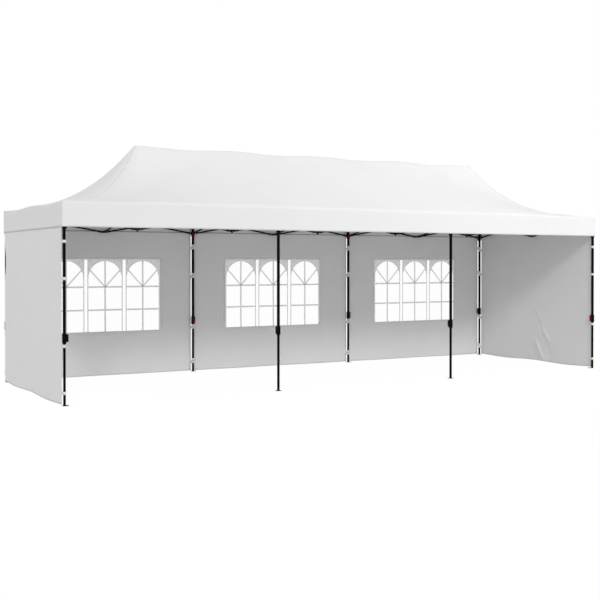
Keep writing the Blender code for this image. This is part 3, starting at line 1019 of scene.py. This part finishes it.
# %% Print the straight bars
ARCH_PITCH = 0.603
ARCH_HALF = 0.2625
SPRING_Z = 1.4805
APEX_Z = SPRING_Z + ARCH_HALF
STRIP_AT = 0.3015
STRIP_HALF = 0.023
STRIP_TOP_Z = 1.7625
BAR_HALF = 0.0125
CROSS_BARS_Z = (1.002, 1.351)
LIGHTS = (-ARCH_PITCH, 0.0, ARCH_PITCH)


def window_columns():
    stops = [-WINDOW_HALF, WINDOW_HALF]
    for light in LIGHTS:
        stops += [light - ARCH_HALF, light - BAR_HALF, light + BAR_HALF, light + ARCH_HALF]
    for strip in (-STRIP_AT, STRIP_AT):
        stops += [strip - STRIP_HALF, strip + STRIP_HALF]
    return through(sorted(stops), WALL_PITCH)


def window_rows():
    stops = [WINDOW_BOTTOM_Z, SPRING_Z, APEX_Z, STRIP_TOP_Z, WINDOW_TOP_Z]
    for bar in CROSS_BARS_Z:
        stops += [bar - BAR_HALF, bar + BAR_HALF]
    return through(sorted(stops), WALL_PITCH)


def is_printed(u, z):
    """True where the flat window is covered by ink, apart from the arch heads."""
    if min(abs(abs(u) - STRIP_AT), STRIP_HALF) < STRIP_HALF:
        return z > STRIP_TOP_Z
    across = min(abs(u - light) for light in LIGHTS)
    if across > ARCH_HALF:
        return True
    if z > SPRING_Z:
        return across < BAR_HALF and z < APEX_Z
    return across < BAR_HALF or min(abs(z - bar) for bar in CROSS_BARS_Z) < BAR_HALF


def print_bars():
    """The straight bars and the frame lines of all three lights."""
    bm = sheet_grid(window_columns(), window_rows())
    centres = [(face, face.calc_center_median()) for face in bm.faces]
    clear = [face for face, place in centres if not is_printed(place.x, place.y)]
    bmesh.ops.delete(bm, geom=clear, context="FACES")
    return bm


print("Straight bars cross at", len(LIGHTS) * len(CROSS_BARS_Z), "places")

# %% [markdown]
# Arch heads and slanting bars
#
# Each arch head starts as half a circle whose edges are extruded and pushed out to the frame. The slanting
# bars are narrow strips from the upper cross bar to the arch.

# %% Print the arches
SLANT_RUN = 0.216
SLANT_RISE = 0.233
SLANT_HALF = 0.8 * BAR_HALF
ARCH_SEGMENTS = 40


def print_arch(light):
    """The corner pieces over one light, from its arch out to the frame."""
    bm = bmesh.new()
    bmesh.ops.create_circle(bm, cap_ends=False, segments=ARCH_SEGMENTS, radius=ARCH_HALF)
    lower = [vert for vert in bm.verts if vert.co.y < -1e-5]
    bmesh.ops.delete(bm, geom=lower, context="VERTS")
    high = WINDOW_TOP_Z - SPRING_Z
    outer = only(bmesh.types.BMVert, bmesh.ops.extrude_edge_only(bm, edges=bm.edges[:])["geom"])
    for vert in outer:
        to_side = ARCH_HALF / max(abs(vert.co.x), 1e-5)
        to_top = high / max(vert.co.y, 1e-5)
        vert.co *= min(to_side, to_top)
    for side in (-1, 1):
        corner = Vector((side * ARCH_HALF, high, 0))
        min(outer, key=lambda vert: (vert.co - corner).length).co = corner
    bmesh.ops.translate(bm, verts=bm.verts[:], vec=(light, SPRING_Z, 0))
    return bm


def print_slant(light, side):
    """One slanting bar, from the upper cross bar up to the arch."""
    foot = Vector((0, CROSS_BARS_Z[-1] - SPRING_Z))
    way = Vector((side * SLANT_RUN, SLANT_RISE)).normalized()
    half_chord = math.sqrt(foot.dot(way) ** 2 - foot.length_squared + ARCH_HALF**2)
    length = half_chord - foot.dot(way)
    bm = sheet_grid(through([0.0, length + BAR_HALF / 2], WALL_PITCH), [-SLANT_HALF, SLANT_HALF])
    turn = Matrix.Rotation(math.atan2(way.y, way.x), 4, "Z")
    bmesh.ops.transform(bm, verts=bm.verts[:], matrix=Matrix.Translation((light, CROSS_BARS_Z[-1], 0)) @ turn)
    return bm


print("An arch is", 2 * ARCH_HALF, "m wide")

# %% [markdown]
# Stamping copies
#
# Each kind of bar is needed several times. A stamp moves a copy of a part to its place and adds it to
# another bmesh. The copy is moved first, because new points needn't come last in a mesh that has been
# bevelled or cut. Joining objects would do the same, but a stamp needs no selection and leaves nothing
# behind. Ink has no thickness to speak of, so each family of bars lies a hair above the one before.

# %% Put the print together
LAYER_LIFT = 0.00012


def stamp(bm, part, places=(Matrix(),)):
    """Copies a part into bm once for each place, and frees it."""
    mesh = bpy.data.meshes.new("stamp")
    for place in places:
        copy = part.copy()
        bmesh.ops.transform(copy, matrix=place, verts=copy.verts[:])
        copy.to_mesh(mesh)
        copy.free()
        bm.from_mesh(mesh)
    part.free()
    bpy.data.meshes.remove(mesh)
    return bm


def window_print():
    """The whole flat print, with each family of bars a hair above the one before."""
    bm = bmesh.new()
    stamp(bm, print_bars())
    for light in LIGHTS:
        stamp(bm, print_arch(light), [Matrix.Translation((0, 0, LAYER_LIFT))])
        for side in (-1, 1):
            stamp(bm, print_slant(light, side), [Matrix.Translation((0, 0, 2 * LAYER_LIFT))])
    return bm


trial_print = window_print()
print("A window's print has", len(trial_print.faces), "faces")
trial_print.free()

# %% [markdown]
# Hanging the windows
#
# The print and the film hang by the rule of their own wall, so they follow its belly. The
# film laps behind the cloth on all four sides, where it is welded. A narrow binding frames the opening
# on the inside, which is the faint line that one sees round each window. A grey tape across each back
# wall, under its top, is painted shade: it stands in for the dark line of shade there.

# %% Make the windows
PRINT_THICK = 0.0003
PRINT_LIFT = 0.0008
FILM_THICK = 0.0005
FILM_LIFT = 0.0014
FILM_LAP = 0.025
BINDING_WIDE = 0.018
BINDING_LIFT = -0.0012
# Where the grey tape of painted shade runs across each back wall, under its top.
SHADE_LINE_Z = 2.193
SHADE_LINE_HIGH = 0.016
SHADE_LINE_LIFT = -0.0014


def hang_window(bm, bay, lift, shift=None):
    """Hangs a flat piece on a back wall, moved along it to the window unless shift says otherwise."""
    shift = WINDOW_AT[bay] if shift is None else shift
    for vert in bm.verts:
        u, v, layer = vert.co
        u += shift
        out = hang(u, v, BACK_WALL_HALF, BACK_SEED + bay) + lift - layer
        vert.co = back_stand(bay) @ Vector((u, out, v + hem_height(u, v, BACK_HEM_WAVE)))


def binding_grid():
    """A flat frame round the window opening."""
    wide = WINDOW_HALF + BINDING_WIDE
    low, high = WINDOW_BOTTOM_Z - BINDING_WIDE, WINDOW_TOP_Z + BINDING_WIDE
    us = through([-wide, -WINDOW_HALF, WINDOW_HALF, wide], WALL_PITCH)
    vs = through([low, WINDOW_BOTTOM_Z, WINDOW_TOP_Z, high], WALL_PITCH)
    bm = sheet_grid(us, vs)
    cut_window(bm, 0.0)
    return bm


def film_grid():
    wide = WINDOW_HALF + FILM_LAP
    us = through([-wide, wide], WALL_PITCH)
    return sheet_grid(us, through([WINDOW_BOTTOM_Z - FILM_LAP, WINDOW_TOP_Z + FILM_LAP], WALL_PITCH))


for bay, bay_name in enumerate(BAY_NAMES):
    film = film_grid()
    hang_window(film, bay, FILM_LIFT + FILM_THICK / 2)
    film = thicken(finish_piece("window_vinyl_" + bay_name, film, clear_vinyl), FILM_THICK)
    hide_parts("window_film_" + bay_name)
    ink = window_print()
    hang_window(ink, bay, PRINT_LIFT)
    ink = thicken(finish_piece("window_print_" + bay_name, ink, white_print), PRINT_THICK)
    binding = binding_grid()
    hang_window(binding, bay, BINDING_LIFT)
    binding = thicken(finish_piece("window_binding_" + bay_name, binding, tent_cloth))
    # Painted shade: a grey tape across the wall, under its top, stands in for the line of shade there.
    shade_line_half = BACK_WALL_HALF - SIDE_HEM
    shade_line_low, shade_line_high = SHADE_LINE_Z - SHADE_LINE_HIGH / 2, SHADE_LINE_Z + SHADE_LINE_HIGH / 2
    shade_line = sheet_grid(through([-shade_line_half, shade_line_half], WALL_PITCH), [shade_line_low, shade_line_high])
    hang_window(shade_line, bay, SHADE_LINE_LIFT, shift=0.0)
    thicken(finish_piece("shade_line_tape_" + bay_name, shade_line, shade_line_webbing))
    width, height = 2 * (WINDOW_HALF + FILM_LAP), WINDOW_TOP_Z - WINDOW_BOTTOM_Z + 2 * FILM_LAP
    print("Window", bay_name, "print faces:", len(ink.data.polygons))

# %% [markdown]
# Square shells and rounded blocks
#
# Nothing on a pressed or moulded part has a razor edge. A square with its corners bevelled is the section of
# every sleeve here: its outline is extruded upwards ring by ring, and each ring is scaled to the width that
# the profile gives. A cube with bevelled edges serves for everything moulded.

# %% Helpers for hard parts
def square_shell(profile, corner):
    """An open sleeve of one layer. The profile gives (half width, z) from the bottom up."""
    half, low_z = profile[0]
    bm = bmesh.new()
    bmesh.ops.create_grid(bm, x_segments=1, y_segments=1, size=half)
    bmesh.ops.bevel(
        bm, geom=bm.verts[:], offset=corner, affect="VERTICES", segments=3, profile=0.5, material=-1
    )
    bmesh.ops.delete(bm, geom=bm.faces[:], context="FACES_ONLY")
    bmesh.ops.translate(bm, verts=bm.verts[:], vec=(0, 0, low_z))
    rim = bm.edges[:]
    for next_half, z in profile[1:]:
        made = bmesh.ops.extrude_edge_only(bm, edges=rim)["geom"]
        verts, rim = only(bmesh.types.BMVert, made), only(bmesh.types.BMEdge, made)
        scale = next_half / half
        half = next_half
        bmesh.ops.scale(bm, verts=verts, vec=(scale, scale, 1))
        for vert in verts:
            vert.co.z = z
    bmesh.ops.recalc_face_normals(bm, faces=bm.faces[:])
    return bm


def rounded_block(low, high, radius, segments=2):
    """A block between two corners with all its edges rounded."""
    low, high = Vector(low), Vector(high)
    bm = bmesh.new()
    place = Matrix.Translation((low + high) / 2) @ Matrix.Diagonal((*(high - low), 1))
    bmesh.ops.create_cube(bm, size=1, matrix=place)
    bmesh.ops.bevel(
        bm, geom=bm.edges[:], offset=radius, affect="EDGES", segments=segments, profile=0.5, material=-1
    )
    return bm


trial_block = rounded_block((0, 0, 0), (1, 1, 1), 0.1)
print("A rounded block has", len(trial_block.faces), "faces")
trial_block.free()

# %% [markdown]
# Ties
#
# White webbing ties each wall to its legs at four heights. Each tie is a short, wide loop round the leg,
# drawn out to the wall, with a tail sewn flat onto the cloth. Where two walls share a leg, their loops
# sit one above the other. All the webbing of a leg is one layer, and Solidify gives it its thickness.

# %% Make the ties
WEBBING_HIGH = 0.036
WEBBING_THICK = 0.0016
WEBBING_ROOM = 0.0035
STACK_STEP = 0.0395
SHARED_HEIGHTS = (0.1675, 0.7125, 1.5165, 1.9675)
UPPER_HALF = 0.015
LOWER_HALF = 0.0127
TAIL_LONG = 0.042
TAIL_PITCH = 0.0175
WEBBING_CORNER = 0.004
WALL_AWAY = WALL_Y - HALF_DEPTH - SHEET_THICK - WEBBING_THICK

UP = Vector((0, 0, 1))
BACK, FRONT_END = (0, 1, 0), (0, -1, 0)
RIGHT, LEFT = (1, 0, 0), (-1, 0, 0)
TIED_LEGS = {
    "front_1": [(LEFT, BACK)],
    "front_4": [(RIGHT, BACK)],
    "back_1": [(LEFT, FRONT_END), (BACK, RIGHT)],
    "back_2": [(BACK, LEFT), (BACK, RIGHT)],
    "back_3": [(BACK, LEFT), (BACK, RIGHT)],
    "back_4": [(RIGHT, FRONT_END), (BACK, LEFT)],
}


def leg_place(leg):
    row, column = leg.split("_")
    return Vector((LEG_XS[int(column) - 1], -HALF_DEPTH if row == "front" else HALF_DEPTH, 0))


def tie(height, leg_half, outward, along):
    """One loop round a leg at the origin, drawn outward to its wall, with its tail along the wall."""
    outward, along = Vector(outward), Vector(along)
    half = leg_half + WEBBING_ROOM
    low = height - WEBBING_HIGH / 2
    bm = square_shell([(half, low), (half, low + WEBBING_HIGH)], WEBBING_CORNER)
    for vert in bm.verts:
        reach = vert.co.dot(outward)
        if reach > 0:
            vert.co += outward * (WALL_AWAY - half) * min(2 * reach / half, 1.0)
    tail = sheet_grid(through([0.0, TAIL_LONG], TAIL_PITCH), [low, low + WEBBING_HIGH])
    for vert in tail.verts:
        run, z = vert.co.x, vert.co.y
        vert.co = outward * WALL_AWAY + along * (half / 2 + run) + UP * z
    return stamp(bm, tail)


for leg, to_walls in TIED_LEGS.items():
    bm = bmesh.new()
    shared = len(to_walls) == 2
    for height in SHARED_HEIGHTS if shared else TIE_HEIGHTS:
        leg_half = UPPER_HALF if height > COLLAR_BOTTOM_Z else LOWER_HALF
        for index, (outward, along) in enumerate(to_walls):
            level = height + (index - 0.5) * STACK_STEP if shared else height
            stamp(bm, tie(level, leg_half, outward, along), [Matrix.Translation(leg_place(leg))])
    thicken(finish_piece("wall_ties_" + leg, bm, white_webbing), WEBBING_THICK)
print("Ties on", len(TIED_LEGS), "legs, at", len(TIE_HEIGHTS), "heights")

# %% [markdown]
# Collars, sliders and their locks
#
# The collar at the foot of each outer tube is a moulded casing that narrows to the inner tube. A crimson
# lever sits between two black cheeks on its inner face and draws the pin that holds the height. The frame
# has each lock as a plain block, so the cheeks and the lever close round that block, a shade larger.
# Everything is modelled facing +X.

# %% The parts of a lock
RIM = ((0.0193, 0.0), (0.0206, 0.0015), (0.0206, 0.0065), (0.0193, 0.008))
RIM_CORNER = 0.004
CHEEK_LOW, CHEEK_HIGH = (0.0200, 0.0142, 0.769), (0.0452, 0.0218, 0.8595)
BRIDGE_LOW, BRIDGE_HIGH = (0.0200, -0.0162, 0.8504), (0.0442, 0.0162, 0.8585)
MOULD_ROUND = 0.003
LEVER_LOW, LEVER_HIGH = (0.0380, -0.0137, 0.766), (0.0462, 0.0137, 0.850)
LEVER_FACE_X = 0.042
LEVER_FLARE = 0.0025
FLARE_Z = (0.766, 0.806)
RIBS_Z = (0.776, 0.783, 0.790, 0.797)
RIB_LOW, RIB_HIGH = (-0.002, -0.0105, -0.0012), (0.0012, 0.0105, 0.0012)


def rim_band(low_z):
    """A raised rim round a sleeve."""
    return square_shell([(half, low_z + z) for half, z in RIM], RIM_CORNER)


def cheeks():
    """The two black cheeks beside the lever, with a bridge under its hinge."""
    bm = rounded_block(CHEEK_LOW, CHEEK_HIGH, MOULD_ROUND)
    low, high = Vector(CHEEK_LOW), Vector(CHEEK_HIGH)
    low.y, high.y = -high.y, -low.y
    stamp(bm, rounded_block(low, high, MOULD_ROUND))
    return stamp(bm, rounded_block(BRIDGE_LOW, BRIDGE_HIGH, 0.002))


def flare(z):
    """How far the lower end of the lever stands out at a height."""
    return LEVER_FLARE * (1 - smooth_step(z, *FLARE_Z))


def collar_lever():
    """A lever that flares out at its lower end, with grip ribs."""
    bm = rounded_block(LEVER_LOW, LEVER_HIGH, MOULD_ROUND, segments=3)
    for vert in bm.verts:
        if vert.co.x > LEVER_FACE_X:
            vert.co.x += flare(vert.co.z)
    for z in RIBS_Z:
        on_face = Matrix.Translation((LEVER_HIGH[0] + flare(z), 0, z))
        stamp(bm, rounded_block(RIB_LOW, RIB_HIGH, 0.001), [on_face])
    return bm


trial_lever = collar_lever()
print("A lever has", len(trial_lever.faces), "faces")
trial_lever.free()

# %% [markdown]
# Locks on every leg
#
# A lock is modelled once and stamped on each of the eight legs, turned so that its lever faces inwards. The
# slider above has two raised rims, and on the middle legs a smaller lever.

# %% Make the locks
CASING = (
    (0.0150, 0.746),
    (0.0170, 0.7465),
    (0.0214, 0.759),
    (0.0222, 0.764),
    (0.0222, 0.846),
    (0.0216, 0.851),
)
CASING_THICK = 0.0012
CASING_CORNER = 0.005
SLIDER_RIMS_Z = (2.199, 2.421)
SLIDER_LEVER_LOW, SLIDER_LEVER_HIGH = (0.0180, -0.0160, 2.1245), (0.0348, 0.0160, 2.1760)
ALL_LEGS = [row + "_" + str(column) for row in ("front", "back") for column in range(1, 5)]


def facing_turn(leg):
    """Locks face inwards: along the tent at a corner, across it elsewhere."""
    row, column = leg.split("_")
    if column in "14":
        return Matrix.Rotation(0 if column == "1" else math.pi, 4, "Z")
    return Matrix.Rotation(math.pi / 2 if row == "front" else -math.pi / 2, 4, "Z")


for leg in ALL_LEGS:
    place = [Matrix.Translation(leg_place(leg)) @ facing_turn(leg)]
    casing = stamp(bmesh.new(), square_shell(CASING, CASING_CORNER), place)
    for low_z in SLIDER_RIMS_Z:
        stamp(casing, rim_band(low_z), place)
    thicken(finish_piece("collar_casing_" + leg, casing, black_nylon), CASING_THICK)
    black = stamp(bmesh.new(), cheeks(), place)
    red = stamp(bmesh.new(), collar_lever(), place)
    if leg[-1] in "23":
        stamp(red, rounded_block(SLIDER_LEVER_LOW, SLIDER_LEVER_HIGH, 0.004, segments=3), place)
    finish_piece("lock_cheeks_" + leg, black, black_nylon)
    finish_piece("lock_levers_" + leg, red, red_nylon)
print("Locks on", len(ALL_LEGS), "legs")

# %% [markdown]
# Welds at the feet
#
# Each foot is a plate welded to the end of the inner tube. A weld is a small hollow slope all the way round,
# so it is made as one more shell whose profile narrows as it climbs. It rides on the inner tube and slides
# with it.

# %% Make the welds
WELD = ((0.0172, 0.0042), (0.0149, 0.0048), (0.0138, 0.0060), (0.0133, 0.0084))
WELD_THICK = 0.0008
WELD_CORNER = 0.003

for leg in ALL_LEGS:
    weld = stamp(bmesh.new(), square_shell(WELD, WELD_CORNER), [Matrix.Translation(leg_place(leg))])
    weld = finish_piece("foot_weld_" + leg, weld, powder_coat, body="leg_" + leg, angle=80)
    thicken(weld, WELD_THICK)
print("Welds at", len(ALL_LEGS), "feet")

# %% [markdown]
# Bolts and bar ends
#
# Each scissor turns on one bolt at its crossing and one at each end of its bars, where a moulded cap closes
# the bar. A bolt head is a short cone frustum with a rounded rim. Hundreds of both are needed, so each
# has few faces, and all that belong to one truss are one mesh.

# %% The bolt head and the bar end
HEAD_RADIUS = 0.0075
HEAD_HIGH = 0.004
HEAD_SIDES = 12
HEAD_ROUND = 0.0012
BAR_END_LOW, BAR_END_HIGH = (-0.0150, -0.0064, -0.0145), (0.0500, 0.0064, 0.0145)


def bolt_head():
    """A domed head on the origin, facing +Z."""
    bm = bmesh.new()
    bmesh.ops.create_cone(
        bm,
        cap_ends=True,
        segments=HEAD_SIDES,
        radius1=HEAD_RADIUS,
        radius2=0.7 * HEAD_RADIUS,
        depth=HEAD_HIGH,
        matrix=Matrix.Translation((0, 0, HEAD_HIGH / 2)),
    )
    rim = [edge for edge in bm.edges if all(vert.co.z > HEAD_HIGH / 2 for vert in edge.verts)]
    bmesh.ops.bevel(bm, geom=rim, offset=HEAD_ROUND, affect="EDGES", segments=2, profile=0.5, material=-1)
    return bm


def bar_end():
    """The moulded cap on the end of a bar, with the pivot at the origin and the bar along +X."""
    return rounded_block(BAR_END_LOW, BAR_END_HIGH, MOULD_ROUND)


trial_head = bolt_head()
print("A bolt head has", len(trial_head.faces), "faces and is", 2000 * HEAD_RADIUS, "mm wide")
trial_head.free()

# %% [markdown]
# One scissor
#
# The two bars of a scissor lie side by side, one falling and one rising. All their bolts follow from the two
# upright joint axes that the scissor spans. Only a matrix is worked out for each head and each cap, and
# the stamp does the rest.

# %% Where the heads and the caps go
UPPER_JOINT_Z = 2.425
LOWER_JOINT_Z = 2.185
PIVOT_REACH = 0.045
BAR_LAYER = 0.0065
BAR_HALF_THICK = 0.006
EAR_OUT = 0.0033


def heads_through(place, axis, low, high):
    """Two heads on one bolt, at low and high along its axis."""
    turn = UP.rotation_difference(axis).to_matrix().to_4x4()
    back = UP.rotation_difference(-axis).to_matrix().to_4x4()
    return [Matrix.Translation(place + axis * high) @ turn, Matrix.Translation(place + axis * low) @ back]


def scissor(start, end):
    """The bolt heads and the bar ends of one crossed pair of bars between two joint axes."""
    along = (end - start).normalized()
    side = UP.cross(along)
    near = start + along * PIVOT_REACH
    far = end - along * PIVOT_REACH
    outer = BAR_LAYER + BAR_HALF_THICK
    reach = BAR_HALF_THICK + EAR_OUT
    centre = (near + far) / 2 + UP * (LOWER_JOINT_Z + UPPER_JOINT_Z) / 2
    heads = heads_through(centre, side, -outer, outer)
    ends = []
    falling = (BAR_LAYER, UPPER_JOINT_Z, LOWER_JOINT_Z)
    rising = (-BAR_LAYER, LOWER_JOINT_Z, UPPER_JOINT_Z)
    for layer, first, last in (falling, rising):
        pivots = [near + UP * first, far + UP * last]
        run = (pivots[1] - pivots[0]).normalized()
        for place, way in zip(pivots, (run, -run)):
            heads += heads_through(place, side, layer - reach, layer + reach)
            turn = Matrix((way, side, way.cross(side))).transposed().to_4x4()
            ends.append(Matrix.Translation(place + side * layer) @ turn)
    return heads, ends


print("A bar rises", round(UPPER_JOINT_Z - LOWER_JOINT_Z, 3), "m from joint to joint")

# %% [markdown]
# Along the trusses
#
# Every truss is a row of scissors between upright joint axes: at the legs, halfway between legs, and at the
# peak poles. One table holds those axes for each truss, and a loop stamps the heads and the caps along it.

# %% Make the bolts and the bar ends
def truss_lines():
    """Each truss with the joint axes along it."""
    lines = {}
    for row, y in (("front", -HALF_DEPTH), ("back", HALF_DEPTH)):
        for bay, bay_name in enumerate(BAY_NAMES):
            stations = [LEG_XS[bay] + half * BAY / 2 for half in range(3)]
            lines[row + "_" + bay_name] = [Vector((x, y, 0)) for x in stations]
    for end, x in (("left", LEG_XS[0]), ("right", LEG_XS[3])):
        lines[end] = [Vector((x, y, 0)) for y in (-HALF_DEPTH, 0, HALF_DEPTH)]
    for index, x in enumerate(PEAK_XS):
        lines["cross_" + str(index + 1)] = [Vector((x, y, 0)) for y in (-HALF_DEPTH, 0, HALF_DEPTH)]
    lines["ridge"] = [Vector((x, 0, 0)) for x in (LEG_XS[0], *PEAK_XS, LEG_XS[3])]
    return lines


head_count = 0
for truss, stations in truss_lines().items():
    heads, ends = [], []
    for start, end in zip(stations, stations[1:]):
        more_heads, more_ends = scissor(start, end)
        heads += more_heads
        ends += more_ends
    finish_piece("bolts_" + truss, stamp(bmesh.new(), bolt_head(), heads), zinc_plate)
    finish_piece("bar_ends_" + truss, stamp(bmesh.new(), bar_end(), ends), black_nylon)
    head_count += len(heads)
print("Bolt heads:", head_count)

# %% [markdown]
# Camera, floor and light
#
# The camera stands at eye height off the front left corner, far enough away for a calm perspective.
# Its lens is worked out from the focal length in pixels, and a small shift keeps the uprights upright.

# %% Place the camera
CAMERA_AT = (-7.938, -13.239, 1.719)
CAMERA_TURN = 29.94
CAMERA_DIP = 0.60
FOCAL_PIXELS = 1005.5
FRAME_PIXELS = 600
CENTRE_ROW = 273.2
SENSOR = 36.0

camera_data = bpy.data.cameras.new("camera")
camera_data.sensor_width = SENSOR
camera_data.lens = FOCAL_PIXELS / FRAME_PIXELS * SENSOR
camera_data.shift_y = (CENTRE_ROW - FRAME_PIXELS / 2) / FRAME_PIXELS
camera = add_object("camera", camera_data)
camera.location = CAMERA_AT
camera.rotation_euler = (math.radians(90 - CAMERA_DIP), 0, math.radians(-CAMERA_TURN))
bpy.context.scene.camera = camera
print("Lens", round(camera_data.lens, 2), "mm")

# %% [markdown]
# The floor
#
# A studio floor for a white tent is hard: lit like the tent it would turn grey. This one is a pale grid whose
# own shade and glow light the tent from below, while the camera sees it almost white, so that it runs
# into the background and keeps only a breath of shadow.

# %% Lay the floor
FLOOR_HALF = 60.0
FLOOR_SHADE = 0.55
FLOOR_GLOW = 0.13
FLOOR_WHITE = 1.05
WHITE_SHARE = 0.90
WHITE = (1, 1, 1, 1)


def mix_shaders(tree, share, first, second):
    """The first shader where the share is 0, and the second where it is 1."""
    return add_node(tree, "MixShader", {0: share, 1: first.outputs[0], 2: second.outputs[0]})


def seen_by_camera(tree):
    """1 for what the camera sees and 0 for the light that bounces about."""
    return add_node(tree, "LightPath").outputs["Is Camera Ray"]


def make_floor():
    bm = bmesh.new()
    bmesh.ops.create_grid(bm, x_segments=8, y_segments=8, size=FLOOR_HALF)
    mesh = bpy.data.meshes.new("floor")
    bm.to_mesh(mesh)
    bm.free()
    material, tree, shader = new_material("pale_floor", 3 * (FLOOR_SHADE,), 0.9, Specular_IOR_Level=0.1)
    glow = add_node(tree, "Emission", {"Color": WHITE, "Strength": FLOOR_GLOW})
    lit = add_node(tree, "AddShader", {0: shader.outputs["BSDF"], 1: glow.outputs["Emission"]})
    white = add_node(tree, "Emission", {"Color": WHITE, "Strength": FLOOR_WHITE})
    seen = mix_shaders(tree, WHITE_SHARE, lit, white)
    mix = mix_shaders(tree, seen_by_camera(tree), lit, seen)
    tree.links.new(mix.outputs["Shader"], tree.nodes["Material Output"].inputs["Surface"])
    mesh.materials.append(material)
    add_object("floor", mesh)


make_floor()
print("Floor:", 2 * FLOOR_HALF, "m square")

# %% [markdown]
# Studio light
#
# The world is white to the camera, and for the light a soft sky. A low key comes over the viewer's left
# shoulder, passes under the valance and draws a slanting edge of light on the inside of the right wall. A
# large fill lifts the front of the roof, and a narrow beam lightens the inner corner behind the left wall.

# %% Light the tent
KEY_WAY = (0.45, 1.0, -0.60)
KEY_STRENGTH = 0.86
KEY_SOFTNESS = 12.0
FILL_AT = (4.2, -7.5, 7.0)
FILL_TOWARDS = (3.0, -1.4, 2.4)
FILL_SIZE = 3.0
FILL_POWER = 178.0
CORNER_AT = (-3.2, -3.0, 0.25)
CORNER_TOWARDS = (-4.28, 1.42, -0.15)
CORNER_CONE = 35.0
CORNER_SIZE = 0.3
CORNER_POWER = 295.0
SKY_TOP = 0.61
SKY_LOW = 0.79


def make_world():
    """White behind the tent, and for the light itself a sky that is brightest near the horizon."""
    world = bpy.data.worlds.new("studio")
    world.use_nodes = True
    tree = world.node_tree
    tree.nodes.clear()
    way = add_node(tree, "TexCoord").outputs["Generated"]
    up = add_node(tree, "SeparateXYZ", {"Vector": way}).outputs["Z"]
    strength = between(tree, up, SKY_LOW, SKY_TOP)
    sky = add_node(tree, "Background", {"Color": WHITE, "Strength": strength})
    white = add_node(tree, "Background", {"Color": WHITE, "Strength": 1.0})
    mix = mix_shaders(tree, seen_by_camera(tree), sky, white)
    out = add_node(tree, "OutputWorld")
    tree.links.new(mix.outputs["Shader"], out.inputs["Surface"])
    bpy.context.scene.world = world


def add_light(name, kind, place, towards, energy, **settings):
    """Stands a light at a place and turns it towards another."""
    data = bpy.data.lights.new(name, kind)
    data.energy = energy
    for setting, value in settings.items():
        setattr(data, setting, value)
    light = add_object(name, data)
    light.location = place
    light.rotation_mode = "QUATERNION"
    light.rotation_quaternion = (Vector(towards) - Vector(place)).to_track_quat("-Z", "Y")


make_world()
add_light("key", "SUN", (0, 0, 0), KEY_WAY, KEY_STRENGTH, angle=math.radians(KEY_SOFTNESS))
add_light("fill", "AREA", FILL_AT, FILL_TOWARDS, FILL_POWER, shape="DISK", size=FILL_SIZE)
corner = {"spot_size": math.radians(CORNER_CONE), "spot_blend": 1.0, "shadow_soft_size": CORNER_SIZE}
add_light("corner", "SPOT", CORNER_AT, CORNER_TOWARDS, CORNER_POWER, **corner)
bpy.context.scene.view_settings.view_transform = "Standard"
bpy.context.scene.view_settings.look = "None"
print("Lights:", len(bpy.data.lights), "and a soft sky")
